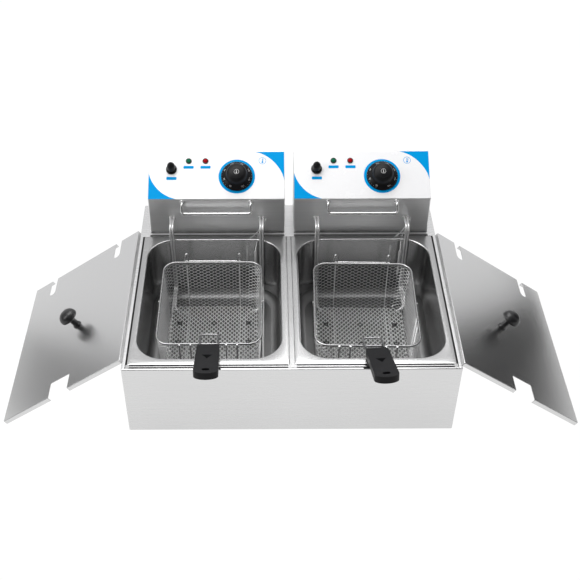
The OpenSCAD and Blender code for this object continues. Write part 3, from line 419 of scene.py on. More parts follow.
materials = {
    "casing": steel("casingSteel", 0.76, 0.73, 0.24, 0.32, (4, 900, 900), 0.015),
    "tank": steel("tankSteel", 0.43, 0.41, 0.22, 0.25, (20, 20, 20), 0.0),
    "gap": moulded("shadowGap", grey(0.035), grey(0.05), 0.6, 0.8, 500.0, 0.05, specular=0.05),
    # painted shade: darker copies of the tank steel for the pan's floor corner and floor
    "tankFoldShade": steel("tankFoldShadedSteel", 0.30, 0.28, 0.44, 0.52, (20, 20, 20), 0.0),
    "tankFloorShade": steel("tankFloorShadedSteel", 0.20, 0.18, 0.34, 0.42, (20, 20, 20), 0.0),
    "rim": steel("tankRimSteel", 0.50, 0.48, 0.22, 0.28, (5, 600, 600), 0.02),
    "head": steel("headSteel", 0.88, 0.80, 0.34, 0.45, (4, 900, 900), 0.03),
    "lid": steel("lidSteel", 0.74, 0.72, 0.245, 0.275, (900, 5, 900), 0.0),
    "wire": steel("platedWire", 0.88, 0.78, 0.16, 0.28, (90, 90, 90), 0.02),
    "weave": steel("wovenWire", 0.80, 0.70, 0.30, 0.44, (200, 200, 200), 0.02),
    # satin plated floor wire, made lighter and less metallic than the wall wire as painted light from above
    "floorWeave": steel("wovenFloorWireLit", 0.96, 0.84, 0.28, 0.42, (200, 200, 200), 0.02, 0.2),
    "rimWire": steel("rimWire", 0.42, 0.36, 0.22, 0.32, (90, 90, 90), 0.02),
    "tube": steel("elementSteel", 0.80, 0.68, 0.18, 0.30, (300, 300, 300), 0.03, 0.5),
    "screw": steel("zincSteel", 0.70, 0.60, 0.25, 0.42, (400, 400, 400), 0.05),
    "plate": steel("galvanisedPlate", 0.60, 0.50, 0.32, 0.50, (40, 40, 40), 0.03),
    "film": moulded("panelFilm", (0.97, 0.97, 0.98, 1), (0.95, 0.95, 0.96, 1), 0.20, 0.32, 900.0, 0.03),
    "filmBlue": moulded("panelBlue", (0.0, 0.34, 0.78, 1), (0.0, 0.33, 0.76, 1), 0.30, 0.40, 900.0, 0.03,
                        specular=0.03),
    "grip": moulded("gripPlastic", (0.007, 0.007, 0.008, 1), (0.011, 0.011, 0.012, 1), 0.38, 0.50, 1500.0,
                    0.2, specular=0.2),
    "knob": moulded("knobPlastic", (0.008, 0.008, 0.009, 1), (0.014, 0.014, 0.015, 1), 0.30, 0.42, 1200.0,
                    0.06, specular=0.16),
    "lidKnob": moulded("lidKnobPlastic", (0.012, 0.012, 0.013, 1), (0.022, 0.022, 0.023, 1), 0.28, 0.42,
                       1300.0, 0.12),
    "numerals": moulded("dialInk", (0.66, 0.66, 0.66, 1), (0.52, 0.52, 0.52, 1), 0.40, 0.55, 900.0, 0.05),
    # painted shade for the strip along the head's foot
    "footShade": moulded("paintedFootShade", grey(0.065), grey(0.085), 0.45, 0.6, 900.0, 0.1),
    "rubber": moulded("footRubber", (0.020, 0.020, 0.020, 1), (0.045, 0.044, 0.043, 1), 0.55, 0.75, 900.0,
                      0.3),
    "boot": moulded("bootRubber", (0.006, 0.006, 0.007, 1), (0.012, 0.012, 0.012, 1), 0.34, 0.50, 1200.0,
                    0.12, specular=0.2),
    "bezel": moulded("bezelPlastic", (0.012, 0.012, 0.013, 1), (0.03, 0.03, 0.03, 1), 0.25, 0.4, 1200.0,
                     0.08),
    "green": moulded("greenLens", (0.004, 0.11, 0.055, 1), (0.008, 0.15, 0.07, 1), 0.30, 0.40, 700.0, 0.02,
                     specular=0.06),
    "red": moulded("redLens", (0.34, 0.002, 0.006, 1), (0.42, 0.004, 0.008, 1), 0.30, 0.40, 700.0, 0.02,
                   specular=0.06),
    "ceramic": moulded("glazedCeramic", (0.78, 0.75, 0.68, 1), (0.70, 0.66, 0.58, 1), 0.18, 0.3, 800.0, 0.05),
    "brown": moulded("brownPhenolic", (0.07, 0.035, 0.02, 1), (0.10, 0.05, 0.03, 1), 0.3, 0.45, 900.0, 0.1),
}
stageNote("materials made")

# the steps of a quarter bend
quarter = [math.radians(30 * k) for k in range(4)]

# casing
casing = {"halfX": 280.0, "front": along(-223.0), "back": along(223.0), "low": 10.0, "side": 6.0, "rail": 3.5,
          "deck": along(124.6), "ledge": 8.0, "drop": 4.0, "sheet": 1.0, "corner": 2.4, "fold": 1.8,
          "crease": 0.5, "lip": 14.0, "notch": (43.0, 6.0)}


def casingRing(inset, z, rear=None, ahead=0.0):
    c = casing
    r = max(c["corner"] - inset, 0.3)
    back = c["back"] - inset if rear is None else rear
    return roundRect(-c["halfX"] + inset, c["halfX"] - inset, c["front"] + inset - ahead, back, r, 4, z)


def makeCasing():
    c = casing
    top, fold, crease, inner = layout["top"], c["fold"], c["crease"], c["side"]
    ahead = c["side"] - c["rail"]
    bm = bmesh.new()
    rings = [casingRing(0, c["low"]), casingRing(0, top - fold)]
    for a in quarter[1:]:
        rings.append(casingRing(fold * (1 - math.cos(a)), top - fold + fold * math.sin(a)))
    for a in quarter:
        off = inner - crease + crease * math.sin(a)
        z = top - crease + crease * math.cos(a)
        rings.append(casingRing(off, z, c["deck"] + crease - crease * math.sin(a), ahead))
    rings.append(casingRing(inner, top - c["drop"], c["deck"], ahead))
    ledge = inner + c["ledge"]
    for z in (top - c["drop"], top - c["drop"] - 1):
        rings.append(casingRing(ledge, z, c["deck"] - c["ledge"], ahead))
    # inside of the walls, then the lip that turns in under the base plate
    sheet, turned = c["sheet"], c["sheet"] + c["lip"]
    for inset, z in ((sheet, top - c["drop"] - 1), (sheet, c["low"] + 2), (turned, c["low"] + 2),
                     (turned, c["low"] + 1), (sheet + 0.1, c["low"] + 1), (sheet + 0.1, c["low"])):
        rings.append(casingRing(inset, z))
    band = len(rings[0])
    addLoft(bm, rings, wrap=True)
    shell = makePiece("casingShell", bm, materials["casing"], "casing", ["outer_casing"],
                      smooth=35)
    # the recess wall and the ledge under the tank lips are painted dark as shade
    for finish in ("gap", "rim"):
        shell.data.materials.append(materials[finish])
    for face in shell.data.polygons:
        if 8 * band <= face.index < 10 * band:
            face.material_index = 1
        elif 4 * band <= face.index < 8 * band and face.center.y < (c["front"] + c["rail"]) * mm:
            face.material_index = 2
    # dips in the front rail for each basket handle, each filled with a black block as painted shade in the
    # opening
    width, depth = c["notch"]
    cutters = []
    for side, sign in sides.items():
        x = sign * layout["tankX"]
        x0, x1, y0, y1 = x - width / 2, x + width / 2, c["front"] + 1.0, c["front"] + depth
        cut = bmesh.new()
        addBox(cut, x0, x1, y0, y1, top - 2.2, top + 4)
        cutters.append(cut)
        notchShade = bmesh.new()
        addBox(notchShade, x0 + 0.1, x1 - 0.1, c["front"] + 1.1, y1 + 2.9, top - 3.9, top - 1.0)
        bevelEdges(notchShade, 0.3)
        makePiece("railNotchShade_" + side, notchShade, materials["boot"], "casing", weighted=True)
    carve(shell, cutters)
    resmooth(shell, 35, True)


makeCasing()

# tanks: one pressed pan each, with a stepped rim and a rounded floor
tank = {"opening": (244.5, 310.5), "corner": 48.0, "floor": 25.0, "roll": 2.2, "floorRadius": 15.0,
        "draft": 2.0, "lip": (0.2, 2.0, 0.1, 0.3), "lipTop": 157.0,
        "flat": {"left": (134.45, 132.95, 169.45, 165.95), "right": (132.75, 132.95, 169.45, 165.95)}}


def tankRing(sign, inner, outer, front, back, z, radius):
    x0, x1 = (-inner, outer) if sign > 0 else (-outer, inner)
    cx, cy = sign * layout["tankX"], along(layout["tankY"])
    return roundRect(cx + x0, cx + x1, cy - front, cy + back, radius, 10, z)


def makeTank(side, sign):
    t = tank
    top = layout["top"]
    w, l = t["opening"][0] / 2, t["opening"][1] / 2
    bm = bmesh.new()
    flat = t["flat"][side]
    lip = [a + b for a, b in zip(flat, t["lip"])]
    rings = [tankRing(sign, *lip, t["lipTop"] - 0.9, 1.5), tankRing(sign, *lip, t["lipTop"], 1.5),
             tankRing(sign, *flat, t["lipTop"], 1.2), tankRing(sign, *flat, t["lipTop"] + 0.5, 1.2)]
    band = len(rings[0])
    for a in quarter:
        off = 0.4 * (1 - math.cos(a))
        rings.append(tankRing(sign, *[v - off for v in flat], top - 0.4 + 0.4 * math.sin(a), 1.2))
    roll = t["roll"]
    for k in range(7):
        a = math.radians(15 * k)
        off = roll * (1 - math.sin(a))
        z = top - roll + roll * math.cos(a)
        rings.append(tankRing(sign, w + off, w + off, l + off, l + off, z, t["corner"] + off))
    r = t["floorRadius"]
    for k in range(10):
        a = math.radians(10 * k)
        off = t["draft"] + r * (1 - math.cos(a))
        z = t["floor"] + r * (1 - math.sin(a))
        rings.append(tankRing(sign, w - off, w - off, l - off, l - off, z, max(t["corner"] - 0.75 * off, 8)))
    for share in (0.7, 0.4, 0.12):
        off = w - (w - t["draft"] - r) * share
        reach = (l - t["draft"] - r) * share
        rings.append(tankRing(sign, w - off, w - off, reach, reach, t["floor"], 28 * share))
    addLoft(bm, rings, caps=(False, True))
    pan = makePiece("tankPan_" + side, bm, materials["tank"], "casing", ["tank_" + side],
                    smooth=50)
    # the rim keeps the lighter brushed finish and its lip edges get painted shade; the pressed pan keeps the
    # duller finish but is painted darker towards the bottom as shade, darker in its rounded floor corner and
    # darker still on the floor
    for finish in ("rim", "gap", "tankFoldShade", "tankFloorShade"):
        pan.data.materials.append(materials[finish])
    for face in pan.data.polygons:
        z = face.center.z / mm
        if face.index < 5 * band:
            face.material_index = 2
        elif z > top - roll - 0.5:
            face.material_index = 1
        elif z < t["floor"] + 0.04:
            face.material_index = 4
        elif z < t["floor"] + r + 0.5:
            face.material_index = 3


# bar between the tanks, and the grooved strip in front of each tank
bars = {"divider": (-2.9, 4.7), "length": (-218.9, 124.4), "flange": 12.0, "flangeLength": (-196.0, 112.0),
        "groove": {"left": (-273.2, -3.0), "right": (4.8, 273.2)}, "end": (6.3, 2.9),
        "strip": (-216.6, -213.8), "span": (-219.4, -211.4), "low": 159.6}


def makeBars():
    b = bars
    top = layout["top"]
    x0, x1 = b["divider"]
    bm = bmesh.new()
    addBox(bm, x0, x1, along(b["length"][0]), along(b["length"][1]), top - 2.9, top)
    bevelEdges(bm, 0.5, 2)
    y0, y1 = along(b["flangeLength"][0]), along(b["flangeLength"][1])
    addBox(bm, x0 - b["flange"], x1 + b["flange"], y0, y1, top - 5.4, top - 4.2)
    addBox(bm, x0 + 2, x1 - 2, y0, y1, top - 4.3, top - 2.8)
    makePiece("dividerBar", bm, materials["rim"], "casing", ["centre_divider"], smooth=30,
              weighted=True)
    for side, (low, high) in b["groove"].items():
        wide = b["end"] if side == "left" else tuple(reversed(b["end"]))
        bm = bmesh.new()
        y0, y1 = along(b["span"][0]), along(b["span"][1])
        addBox(bm, low, low + wide[0], y0, y1, top - 4, top - 0.1)
        addBox(bm, high - wide[1], high, y0, y1, top - 4, top - 0.1)
        y0, y1 = along(b["strip"][0]), along(b["strip"][1])
        addBox(bm, low + wide[0] - 0.5, high - wide[1] + 0.5, y0, y1, top - 4, b["low"])
        bevelEdges(bm, 0.3, 2)
        strip = makePiece("frontStrip_" + side, bm, materials["rim"], "casing", smooth=30,
                          weighted=True)
        # the upright faces of the grooves are painted dark as shade
        strip.data.materials.append(materials["gap"])
        for face in strip.data.polygons:
            if abs(face.normal.y) > 0.9:
                face.material_index = 1


for side, sign in sides.items():
    makeTank(side, sign)
makeBars()
stageNote("casing and tanks made")

# control heads
head = {"width": 254.6, "depth": 86.0, "lip": (4.0, 74.5), "top": (86.0, 125.5), "fold": 1.6,
        "tab": (90.0, 20.0, 8.0)}


def makeHead(side):
    h = head
    bm = bmesh.new()
    outline = [(0, 0), h["lip"], h["top"], (h["depth"], 0)]
    addPrism(bm, outline, -h["width"] / 2, h["width"] / 2, "X")
    rear = [f for f in bm.faces if all(abs(v.co.y - h["depth"]) < 0.01 for v in f.verts)]
    bmesh.ops.delete(bm, geom=rear, context="FACES_ONLY")
    bevelEdges(bm, h["fold"], 4)
    bmesh.ops.recalc_face_normals(bm, faces=bm.faces)
    bmesh.ops.solidify(bm, geom=bm.faces[:], thickness=0.9)
    for x in (-h["tab"][0], h["tab"][0]):
        addBox(bm, x - h["tab"][1] / 2, x + h["tab"][1] / 2, 42, 44, -h["tab"][2], 1)
    makePiece("headShell_" + side, bm, materials["head"], "head_" + side, ["head_shell_" + side],
              headFrame(side), smooth=30, weighted=True)


# dark strip along the head's foot, painted shade in the gap under the head, with a plain metal bead on it
foot = {"half": 127.0, "rubber": (-12.2, -0.3, 0.2, 0.7), "bead": (-8.6, -4.6, 0.7, 1.5)}


def makeFoot(side):
    for name, finish, size in (("footShadeStrip_", "footShade", foot["rubber"]), ("footBead_", "head", foot["bead"])):
        bm = bmesh.new()
        addBox(bm, -foot["half"], foot["half"], *size)
        bevelEdges(bm, 0.2, 2)
        makePiece(name + side, bm, materials[finish], "head_" + side,
                  matrix=headFrame(side), smooth=30, weighted=True)


# printed film: plain field, two swept corners, a ring round the dial, three bare label plates and a heat sign
film = {"size": (253.6, 95.07), "thick": 0.5, "radius": 2.0, "ring": (34.2, 29.9), "dial": (38.0, 45.8),
        "plates": [(-52.5, 64.6, 19.2, 5.9), (-20.8, 64.6, 19.2, 5.9), (-84.2, 42.2, 19.0, 6.0)],
        "sweepLow": [(-126.8, 52.5), (-124.0, 44.0), (-119.5, 34.5), (-113.5, 25.6), (-106.0, 17.2),
                     (-97.0, 10.2), (-86.5, 4.6), (-75.5, 0.9)],
        "sweepHigh": [(72.0, 95.7), (83.5, 92.0), (94.5, 86.2), (104.5, 78.2), (112.8, 68.8), (119.5, 58.6),
                      (124.0, 48.6), (126.8, 38.0)], "sign": (86.0, 77.5, 7.0)}


def smoothLine(points, steps=4):
    points = [Vector((p[0], p[1], 0)) for p in points]
    result = []
    for i in range(len(points) - 1):
        a, b, c, d = points[max(i - 1, 0)], points[i], points[i + 1], points[min(i + 2, len(points) - 1)]
        for k in range(steps):
            t = k / steps
            square, cube = 2 * a - 5 * b + 4 * c - d, 3 * b - a - 3 * c + d
            result.append(0.5 * (2 * b + (c - a) * t + square * t ** 2 + cube * t ** 3))
    return [(p.x, p.y) for p in result + [points[-1]]]


def makeFilm(side):
    f = film
    w, l = f["size"]
    mid = layout["panelLength"] / 2
    bm = bmesh.new()
    field = [(x, y + mid) for x, y in roundOutline(-w / 2, w / 2, -l / 2, l / 2, f["radius"], 4)]
    addPrism(bm, field, 0.02, f["thick"])
    bevelEdges(bm, 0.15, 1)
    makePiece("panelFilm_" + side, bm, materials["film"], "head_" + side, ["control_overlay_" + side],
              panelFrame(side), smooth=30)
    low, high = f["thick"] - 0.1, f["thick"] + 0.06
    bm = bmesh.new()
    addPrism(bm, [(-w / 2, mid - l / 2 + 0.05)] + list(reversed(smoothLine(f["sweepLow"]))), low, high)
    addPrism(bm, [(w / 2, mid + l / 2 - 0.05)] + list(reversed(smoothLine(f["sweepHigh"]))), low, high)
    for cx, cy, pw, pl in f["plates"]:
        addPrism(bm, roundOutline(cx - pw / 2, cx + pw / 2, cy - pl / 2, cy + pl / 2, 1.6, 4), low, high)
    addRing(bm, f["ring"][0], f["ring"][1] - 3, low, high, 96, f["dial"])
    makePiece("panelPrint_" + side, bm, materials["filmBlue"], "head_" + side,
              matrix=panelFrame(side), smooth=30)
    # ring, bulb and stem of the heat sign
    bm = bmesh.new()
    cx, cy, r = f["sign"]
    addRing(bm, r, r - 0.8, low, high, 48, (cx, cy))
    addPrism(bm, roundOutline(cx - 0.8, cx + 0.8, cy - 2.5, cy + 4.6, 0.7, 4), low, high)
    addPrism(bm, discOutline(cx, cy - 3, 1.8, 24), low, high)
    for k in range(4):
        addBox(bm, cx + 1.6, cx + 3.0, cy - 0.4 + 1.4 * k, cy + 0.1 + 1.4 * k, low, high)
    makePiece("panelSign_" + side, bm, materials["filmBlue"], "head_" + side,
              matrix=panelFrame(side), smooth=30)


for side in sides:
    makeHead(side)
    makeFoot(side)
    makeFilm(side)
stageNote("heads and films made")

# dial, lamps and switch on each panel
dial = {"skirt": 29.35, "rise": 1.0, "place": (38.0, 45.8), "numbers": range(50, 191, 20),
        "numberSize": 4.3, "numberRadius": 24.4, "first": -152.0, "last": 152.0, "ticks": 4}


def makeDial(side):
    d = dial
    bm = bmesh.new()
    z = d["rise"]
    wide = d["skirt"]
    profile = [(0, z), (wide - 0.8, z), (wide - 0.1, z + 0.5), (wide, z + 1.2), (wide - 0.5, z + 2.3),
               (wide - 1.5, z + 3.1), (22.6, z + 6.7), (21.0, z + 7.6), (20.1, z + 8.9), (19.6, z + 11.0),
               (19.0, z + 15.0), (18.3, z + 18.2), (17.0, z + 20.3), (14.8, z + 21.7), (12.6, z + 22.2),
               (12.2, z + 21.9), (11.8, z + 22.0), (8.0, z + 22.6), (4.0, z + 22.9), (0.3, z + 23.0)]
    addLathe(bm, profile, 96)
    # pointer rib up the side of the cap
    y0, y1, z0, z1 = 18.0, 24.6, z + 4.0, z + 8.8
    addPrism(bm, [(y0, z0), (y1, z0), (y1 - 2.2, z1 - 2.0), (y0, z1)], -1.5, 1.5, "X")
    makePiece("dialKnob_" + side, bm, materials["knob"], "knob_" + side, ["thermostat_knob_" + side],
              panelFrame(side, *d["place"]), smooth=35)
    # numbers and ticks lie on the sloping skirt
    slope = math.atan2(3.6, wide - 1.5 - 22.6)
    bm = bmesh.new()
    count = len(d["numbers"])
    for i, number in enumerate(d["numbers"]):
        angle = math.radians(d["first"] + (d["last"] - d["first"]) * i / (count - 1))
        curve = bpy.data.curves.new("number", "FONT")
        curve.body = str(number)
        curve.size = d["numberSize"]
        curve.align_x, curve.align_y = "CENTER", "CENTER"
        curve.extrude = 0.05
        curve.resolution_u = 3
        holder = bpy.data.objects.new("number", curve)
        mesh = bpy.data.meshes.new_from_object(holder)
        radius = d["numberRadius"]
        height = z + 3.1 + (wide - 1.5 - radius) * math.tan(slope) + 0.12
        around = Matrix.Rotation(-angle, 4, "Z") @ Matrix.Translation((0, radius, height))
        mesh.transform(around @ Matrix.Rotation(-slope, 4, "X"))
        bm.from_mesh(mesh)
        bpy.data.objects.remove(holder)
        bpy.data.curves.remove(curve)
        bpy.data.meshes.remove(mesh)
    steps = d["ticks"] * (count - 1)
    for i in range(steps + 1):
        angle = d["first"] + (d["last"] - d["first"]) * i / steps
        corners = addBox(bm, -0.13, 0.13, 27.2, 28.2, z + 3.0, z + 3.35 + 0.2)
        spin = Matrix.Rotation(-math.radians(angle), 3, "Z")
        bmesh.ops.rotate(bm, verts=corners, cent=(0, 0, 0), matrix=spin)
    # thermometer sign on the cap
    top = z + 22.98
    addRing(bm, 4.6, 4.1, top - 1.2, top, 40)
    addPrism(bm, roundOutline(-0.5, 0.5, -1.6, 3.0, 0.45, 3), top - 0.6, top + 0.08)
    addPrism(bm, discOutline(0, -2.0, 1.1, 16), top - 0.6, top + 0.08)
    makePiece("dialNumbers_" + side, bm, materials["numerals"], "knob_" + side,
              matrix=panelFrame(side, *d["place"]), smooth=30)


lamp = {"radius": 5.6, "green": (-52.4, 77.0), "red": (-21.0, 77.0)}


def makeLamp(side, colour):
    r = lamp["radius"]
    bm = bmesh.new()
    addLathe(bm, [(0, -17.5), (3.6, -17.5), (4.0, -17.0), (4.0, 0.3), (r - 0.1, 0.52), (r, 0.9), (r, 1.6),
                  (r - 0.3, 2.1), (r - 0.9, 2.35), (r - 1.35, 2.2), (r - 1.5, 1.7), (0, 1.7)], 40)
    place = panelFrame(side, *lamp[colour])
    makePiece("lampBezel_%s_%s" % (colour, side), bm, materials["bezel"], "head_" + side,
              matrix=place, smooth=35)
    bm = bmesh.new()
    angles = [math.radians(10 * k) for k in range(1, 9)]
    dome = [((r - 1.55) * math.cos(a), 1.95 + 1.4 * math.sin(a)) for a in angles]
    addLathe(bm, [(0, 1.2), (r - 1.5, 1.2), (r - 1.5, 1.9)] + dome + [(0.05, 3.36)], 40)
    makePiece("lampLens_%s_%s" % (colour, side), bm, materials[colour], "head_" + side,
              ["lamp_%s_%s" % (colour, side)], place, smooth=60)


switch = {"place": (-84.5, 60.4), "collar": 10.3, "pivot": 6.5, "lean": 14.0, "boot": 7.5}


def makeSwitch(side):
    s = switch
    bm = bmesh.new()
    r = s["collar"]
    addLathe(bm, [(0, -4), (5.9, -4), (5.9, 0.45), (r - 0.3, 0.5), (r, 0.9), (r, 1.9), (r - 0.5, 2.8),
                  (r - 1.6, 3.4), (8.2, 3.5), (7.9, 3.0), (0, 2.0)], 48)
    addBox(bm, -11, 11, -7, 7, -23.3, -1.4)
    place = panelFrame(side, *s["place"])
    makePiece("switchCollar_" + side, bm, materials["bezel"], "head_" + side, ["switch_housing_" + side],
              place, smooth=35)
    bm = bmesh.new()
    b = s["boot"]
    profile = [(0, -b), (b * 0.55, -b * 0.8), (b * 0.9, -b * 0.35), (b, -0.6), (b, 1.4), (b, 4.5),
               (b - 0.2, 7.0), (b - 0.7, 9.2), (b - 1.6, 11.2), (b - 2.9, 12.8), (b - 4.0, 13.7),
               (b - 4.5, 14.6), (b - 4.9, 15.6), (b - 6.0, 16.3), (0.05, 16.4)]
    addLathe(bm, profile, 48)
    makePiece("switchBoot_" + side, bm, materials["boot"], "switch_" + side, ["switch_boot_" + side],
              place @ shift(0, 0, s["pivot"]) @ turn(-s["lean"], "X"), smooth=60)


for side in sides:
    makeDial(side)
    makeLamp(side, "green")
    makeLamp(side, "red")
    makeSwitch(side)
stageNote("controls made")

# bail, heating element and sensor lines on each head
bail = {"half": 64.0, "barHalf": 64.5, "wire": 2.5, "z": 69.0, "drop": 15.8, "out": 12.0}


def makeBail(side):
    b = bail
    bm = bmesh.new()
    low = b["z"] - b["drop"]
    path = [(-b["half"], 9, b["z"]), (-b["half"], -4.5, b["z"]), (-b["barHalf"], -b["out"], low),
            (b["barHalf"], -b["out"], low), (b["half"], -4.5, b["z"]), (b["half"], 9, b["z"])]
    addTube(bm, roundPath(path, 5.0, 7), b["wire"], 14)
    washer = [(0, 0), (4.3, 0), (4.6, 0.3), (4.3, 1.0), (3.0, 1.5), (0, 1.5)]
    addTurned(bm, washer, 24, 90, [(x, 3.6, b["z"]) for x in (-b["half"], b["half"])])
    makePiece("bailRod_" + side, bm, materials["wire"], "head_" + side, ["basket_bail_" + side],
              headFrame(side), smooth=50)


element = {"tube": 2.15, "leg": 84.0, "glandZ": 34.0, "legY": -30.6, "low": -112.0, "outer": 259.0,
           "innerHalf": 52.0, "spread": 3.2, "close": 2.25}


def makeElement(side):
    e = element
    bm = bmesh.new()
    z, y, start = e["low"], e["legY"], e["glandZ"]
    frontY = y - e["outer"]
    outer, inner = [], []
    for s in (-1, 1):
        a, b = s * (e["leg"] + e["spread"]), s * (e["leg"] + e["close"])
        outer.append([(a, 16, start), (a, -3, start), (b, -12, start), (b, y, start), (b, y, z),
                      (b, frontY, z)])
        a, b, c = s * (e["leg"] - e["spread"]), s * (e["leg"] - e["close"]), s * e["innerHalf"]
        inner.append([(a, 16, start), (a, -3, start), (b, -12, start), (b, y, start), (b, y, z),
                      (b, y - 62, z), (c, y - 80, z), (c, frontY + 32, z)])
    for pair in (outer, inner):
        addTube(bm, roundPath(pair[0] + list(reversed(pair[1])), 13.0, 7), e["tube"], 14)
    makePiece("elementTubes_" + side, bm, materials["tube"], "head_" + side, ["heating_element_" + side],
              headFrame(side), smooth=50)
    # a turned collar on each cold end, bearing on the face, with its nut behind it
    bm = bmesh.new()
    collar = [(0, -1.8), (2.7, -1.8), (3.1, -1.4), (3.1, 0.0), (3.1, 2.2), (2.9, 2.4), (0, 2.4)]
    places = [(s * e["leg"] + p * e["spread"], 0, start) for s in (-1, 1) for p in (-1, 1)]
    addTurned(bm, collar, 24, -90, places)
    makePiece("glandCollars_" + side, bm, materials["tube"], "head_" + side, ["element_glands_" + side],
              headFrame(side), smooth=35, weighted=True)


# two thin capillaries leave beside the right leg, pass behind it and end in their bulbs
sensor = {"line": 0.8, "bulb": 3.0, "length": 58.0, "low": -14.0,
          "routes": [[(46, 44, 66), (60, 40, 44), (92, 22, 33), (92, -4, 33), (86, -13, 22), (78, -17, 8),
                      (75, -24, -6), (72.5, -41.5, -9), (72.5, -41.5, -13)],
                     [(-31, 72, 58.7), (30, 60, 40), (88, 24, 31), (88.5, -3, 31), (83, -11, 20),
                      (74, -14, 8), (60, -20, -2), (56.5, -21.5, -8), (56.5, -21.5, -13)]]}


def makeSensors(side):
    n = sensor
    bm = bmesh.new()
    r, end = n["bulb"], -n["length"]
    bulb = [(0.9, 2.8), (1.6, 2), (2.4, -0.2), (r, -2), (r, end + 4), (r - 0.6, end + 2.5),
            (r - 1.6, end + 2)]
    for route in n["routes"]:
        addTube(bm, roundPath(route, 7.0, 5), n["line"], 8)
        addLathe(bm, bulb, 20, (*route[-1][:2], n["low"]))
    makePiece("sensorLines_" + side, bm, materials["tube"], "head_" + side, ["sensor_bulbs_" + side],
              headFrame(side), smooth=50)


for side in sides:
    makeBail(side)
    makeElement(side)
    makeSensors(side)
stageNote("bails and elements made")

# baskets: rim and frame wires, woven wall and floor
basket = {"half": (89.0, 106.25), "corner": 22.5, "rim": 1.8, "frame": 1.5, "cross": 1.25, "pitch": 48.5,
          "low": -105.1, "taper": 5.0, "top": -2.6, "floor": -103.2, "fold": 5.0,
          "cell": 6.2, "row": 3.6, "weave": 0.42, "wallCorner": 24.0,
          "floorCorner": 12.0, "floorCell": 8.6, "floorRow": 5.2, "floorWeave": 1.02,
          "flat": 0.16, "swing": 0.9, "hookWire": 0.9, "clips": (3.4, 0.9), "clipRows": (1.8, 51.4)}


def perimeterPoint(halfX, halfY, radius, share):
    corner = basket["wallCorner"]
    fullX, fullY = 2 * (basket["half"][0] - corner), 2 * (basket["half"][1] - corner)
    arc = math.pi / 2 * corner
    spans = [fullY, arc, fullX, arc] * 2
    distance = (share % 1.0) * sum(spans)
    for k, span in enumerate(spans):
        if distance < span:
            break
        distance -= span
    t = distance / span
    x, y = halfX - radius, halfY - radius
    if k == 0:
        return halfX, -y + 2 * y * t
    if k == 2:
        return x - 2 * x * t, halfY
    if k == 4:
        return -halfX, y - 2 * y * t
    if k == 6:
        return -x + 2 * x * t, -halfY
    a = math.pi / 2 * t + {1: 0, 3: math.pi / 2, 5: math.pi, 7: 1.5 * math.pi}[k]
    cx, cy = {1: (x, y), 3: (-x, y), 5: (-x, -y), 7: (x, -y)}[k]
    return cx + radius * math.cos(a), cy + radius * math.sin(a)


def wallPoint(share, depth):
    b = basket
    straight = b["top"] - b["floor"] - b["fold"]
    if depth < straight:
        inset, z = b["taper"] * depth / straight, b["top"] - depth
    else:
        a = min((depth - straight) / b["fold"], math.pi / 2)
        inset = b["taper"] + b["fold"] * (1 - math.cos(a))
        z = b["top"] - straight - b["fold"] * math.sin(a)
    radius = max(b["wallCorner"] - inset * 0.6, 10)
    x, y = perimeterPoint(b["half"][0] - inset, b["half"][1] - inset, radius, share)
    return x, y, z


def makeWeave(side):
    b = basket
    bm = bmesh.new()
    corner, flat = b["wallCorner"], b["flat"]
    around = b["half"][0] * 2 + b["half"][1] * 2 - 4 * corner + math.pi * corner
    steps = 2 * round(around / b["cell"])
    total = b["top"] - b["floor"] - b["fold"] + b["fold"] * math.pi / 2
    rows = round(total / b["row"])
    step = total / rows
    for j in range(rows + 1):
        path = []
        for i in range(steps):
            swing = (-1) ** (i + j) * step / 2 * b["swing"]
            depth = min(max(step * j + swing, 0), total)
            path.append(wallPoint((i - flat) / steps, depth))
            path.append(wallPoint((i + flat) / steps, depth))
        addTube(bm, path, b["weave"], 4, closed=True)
    makePiece("basketWeave_" + side, bm, materials["weave"], "basket_" + side, ["basket_mesh_" + side],
              basketFrame(side), smooth=80)


def makeWovenFloor(side):
    b = basket
    bm = bmesh.new()
    halfX, halfY = b["half"][0] - b["taper"] - b["fold"], b["half"][1] - b["taper"] - b["fold"]
    rows = round(2 * halfY / b["floorRow"])
    step = 2 * halfY / rows
    half, radius, flat = b["floorCell"] / 2, b["floorCorner"], b["flat"]
    for j in range(rows + 1):
        y = -halfY + step * j
        over = max(abs(y) - (halfY - radius), 0)
        limit = halfX - radius + math.sqrt(max(radius ** 2 - over ** 2, 0)) + 0.5
        count = int(limit / half)
        path = []
        for i in range(-count, count + 1):
            yy = y + (-1) ** (i + j) * step / 2 * b["swing"]
            path += [((i - flat) * half, yy, b["floor"]), ((i + flat) * half, yy, b["floor"])]
        if len(path) > 3:
            path = [(-limit, y, b["floor"] + 0.2)] + path + [(limit, y, b["floor"] + 0.2)]
            addTube(bm, path, b["floorWeave"], 4)
    makePiece("basketFloor_" + side, bm, materials["floorWeave"], "basket_" + side,
              matrix=basketFrame(side), smooth=80)


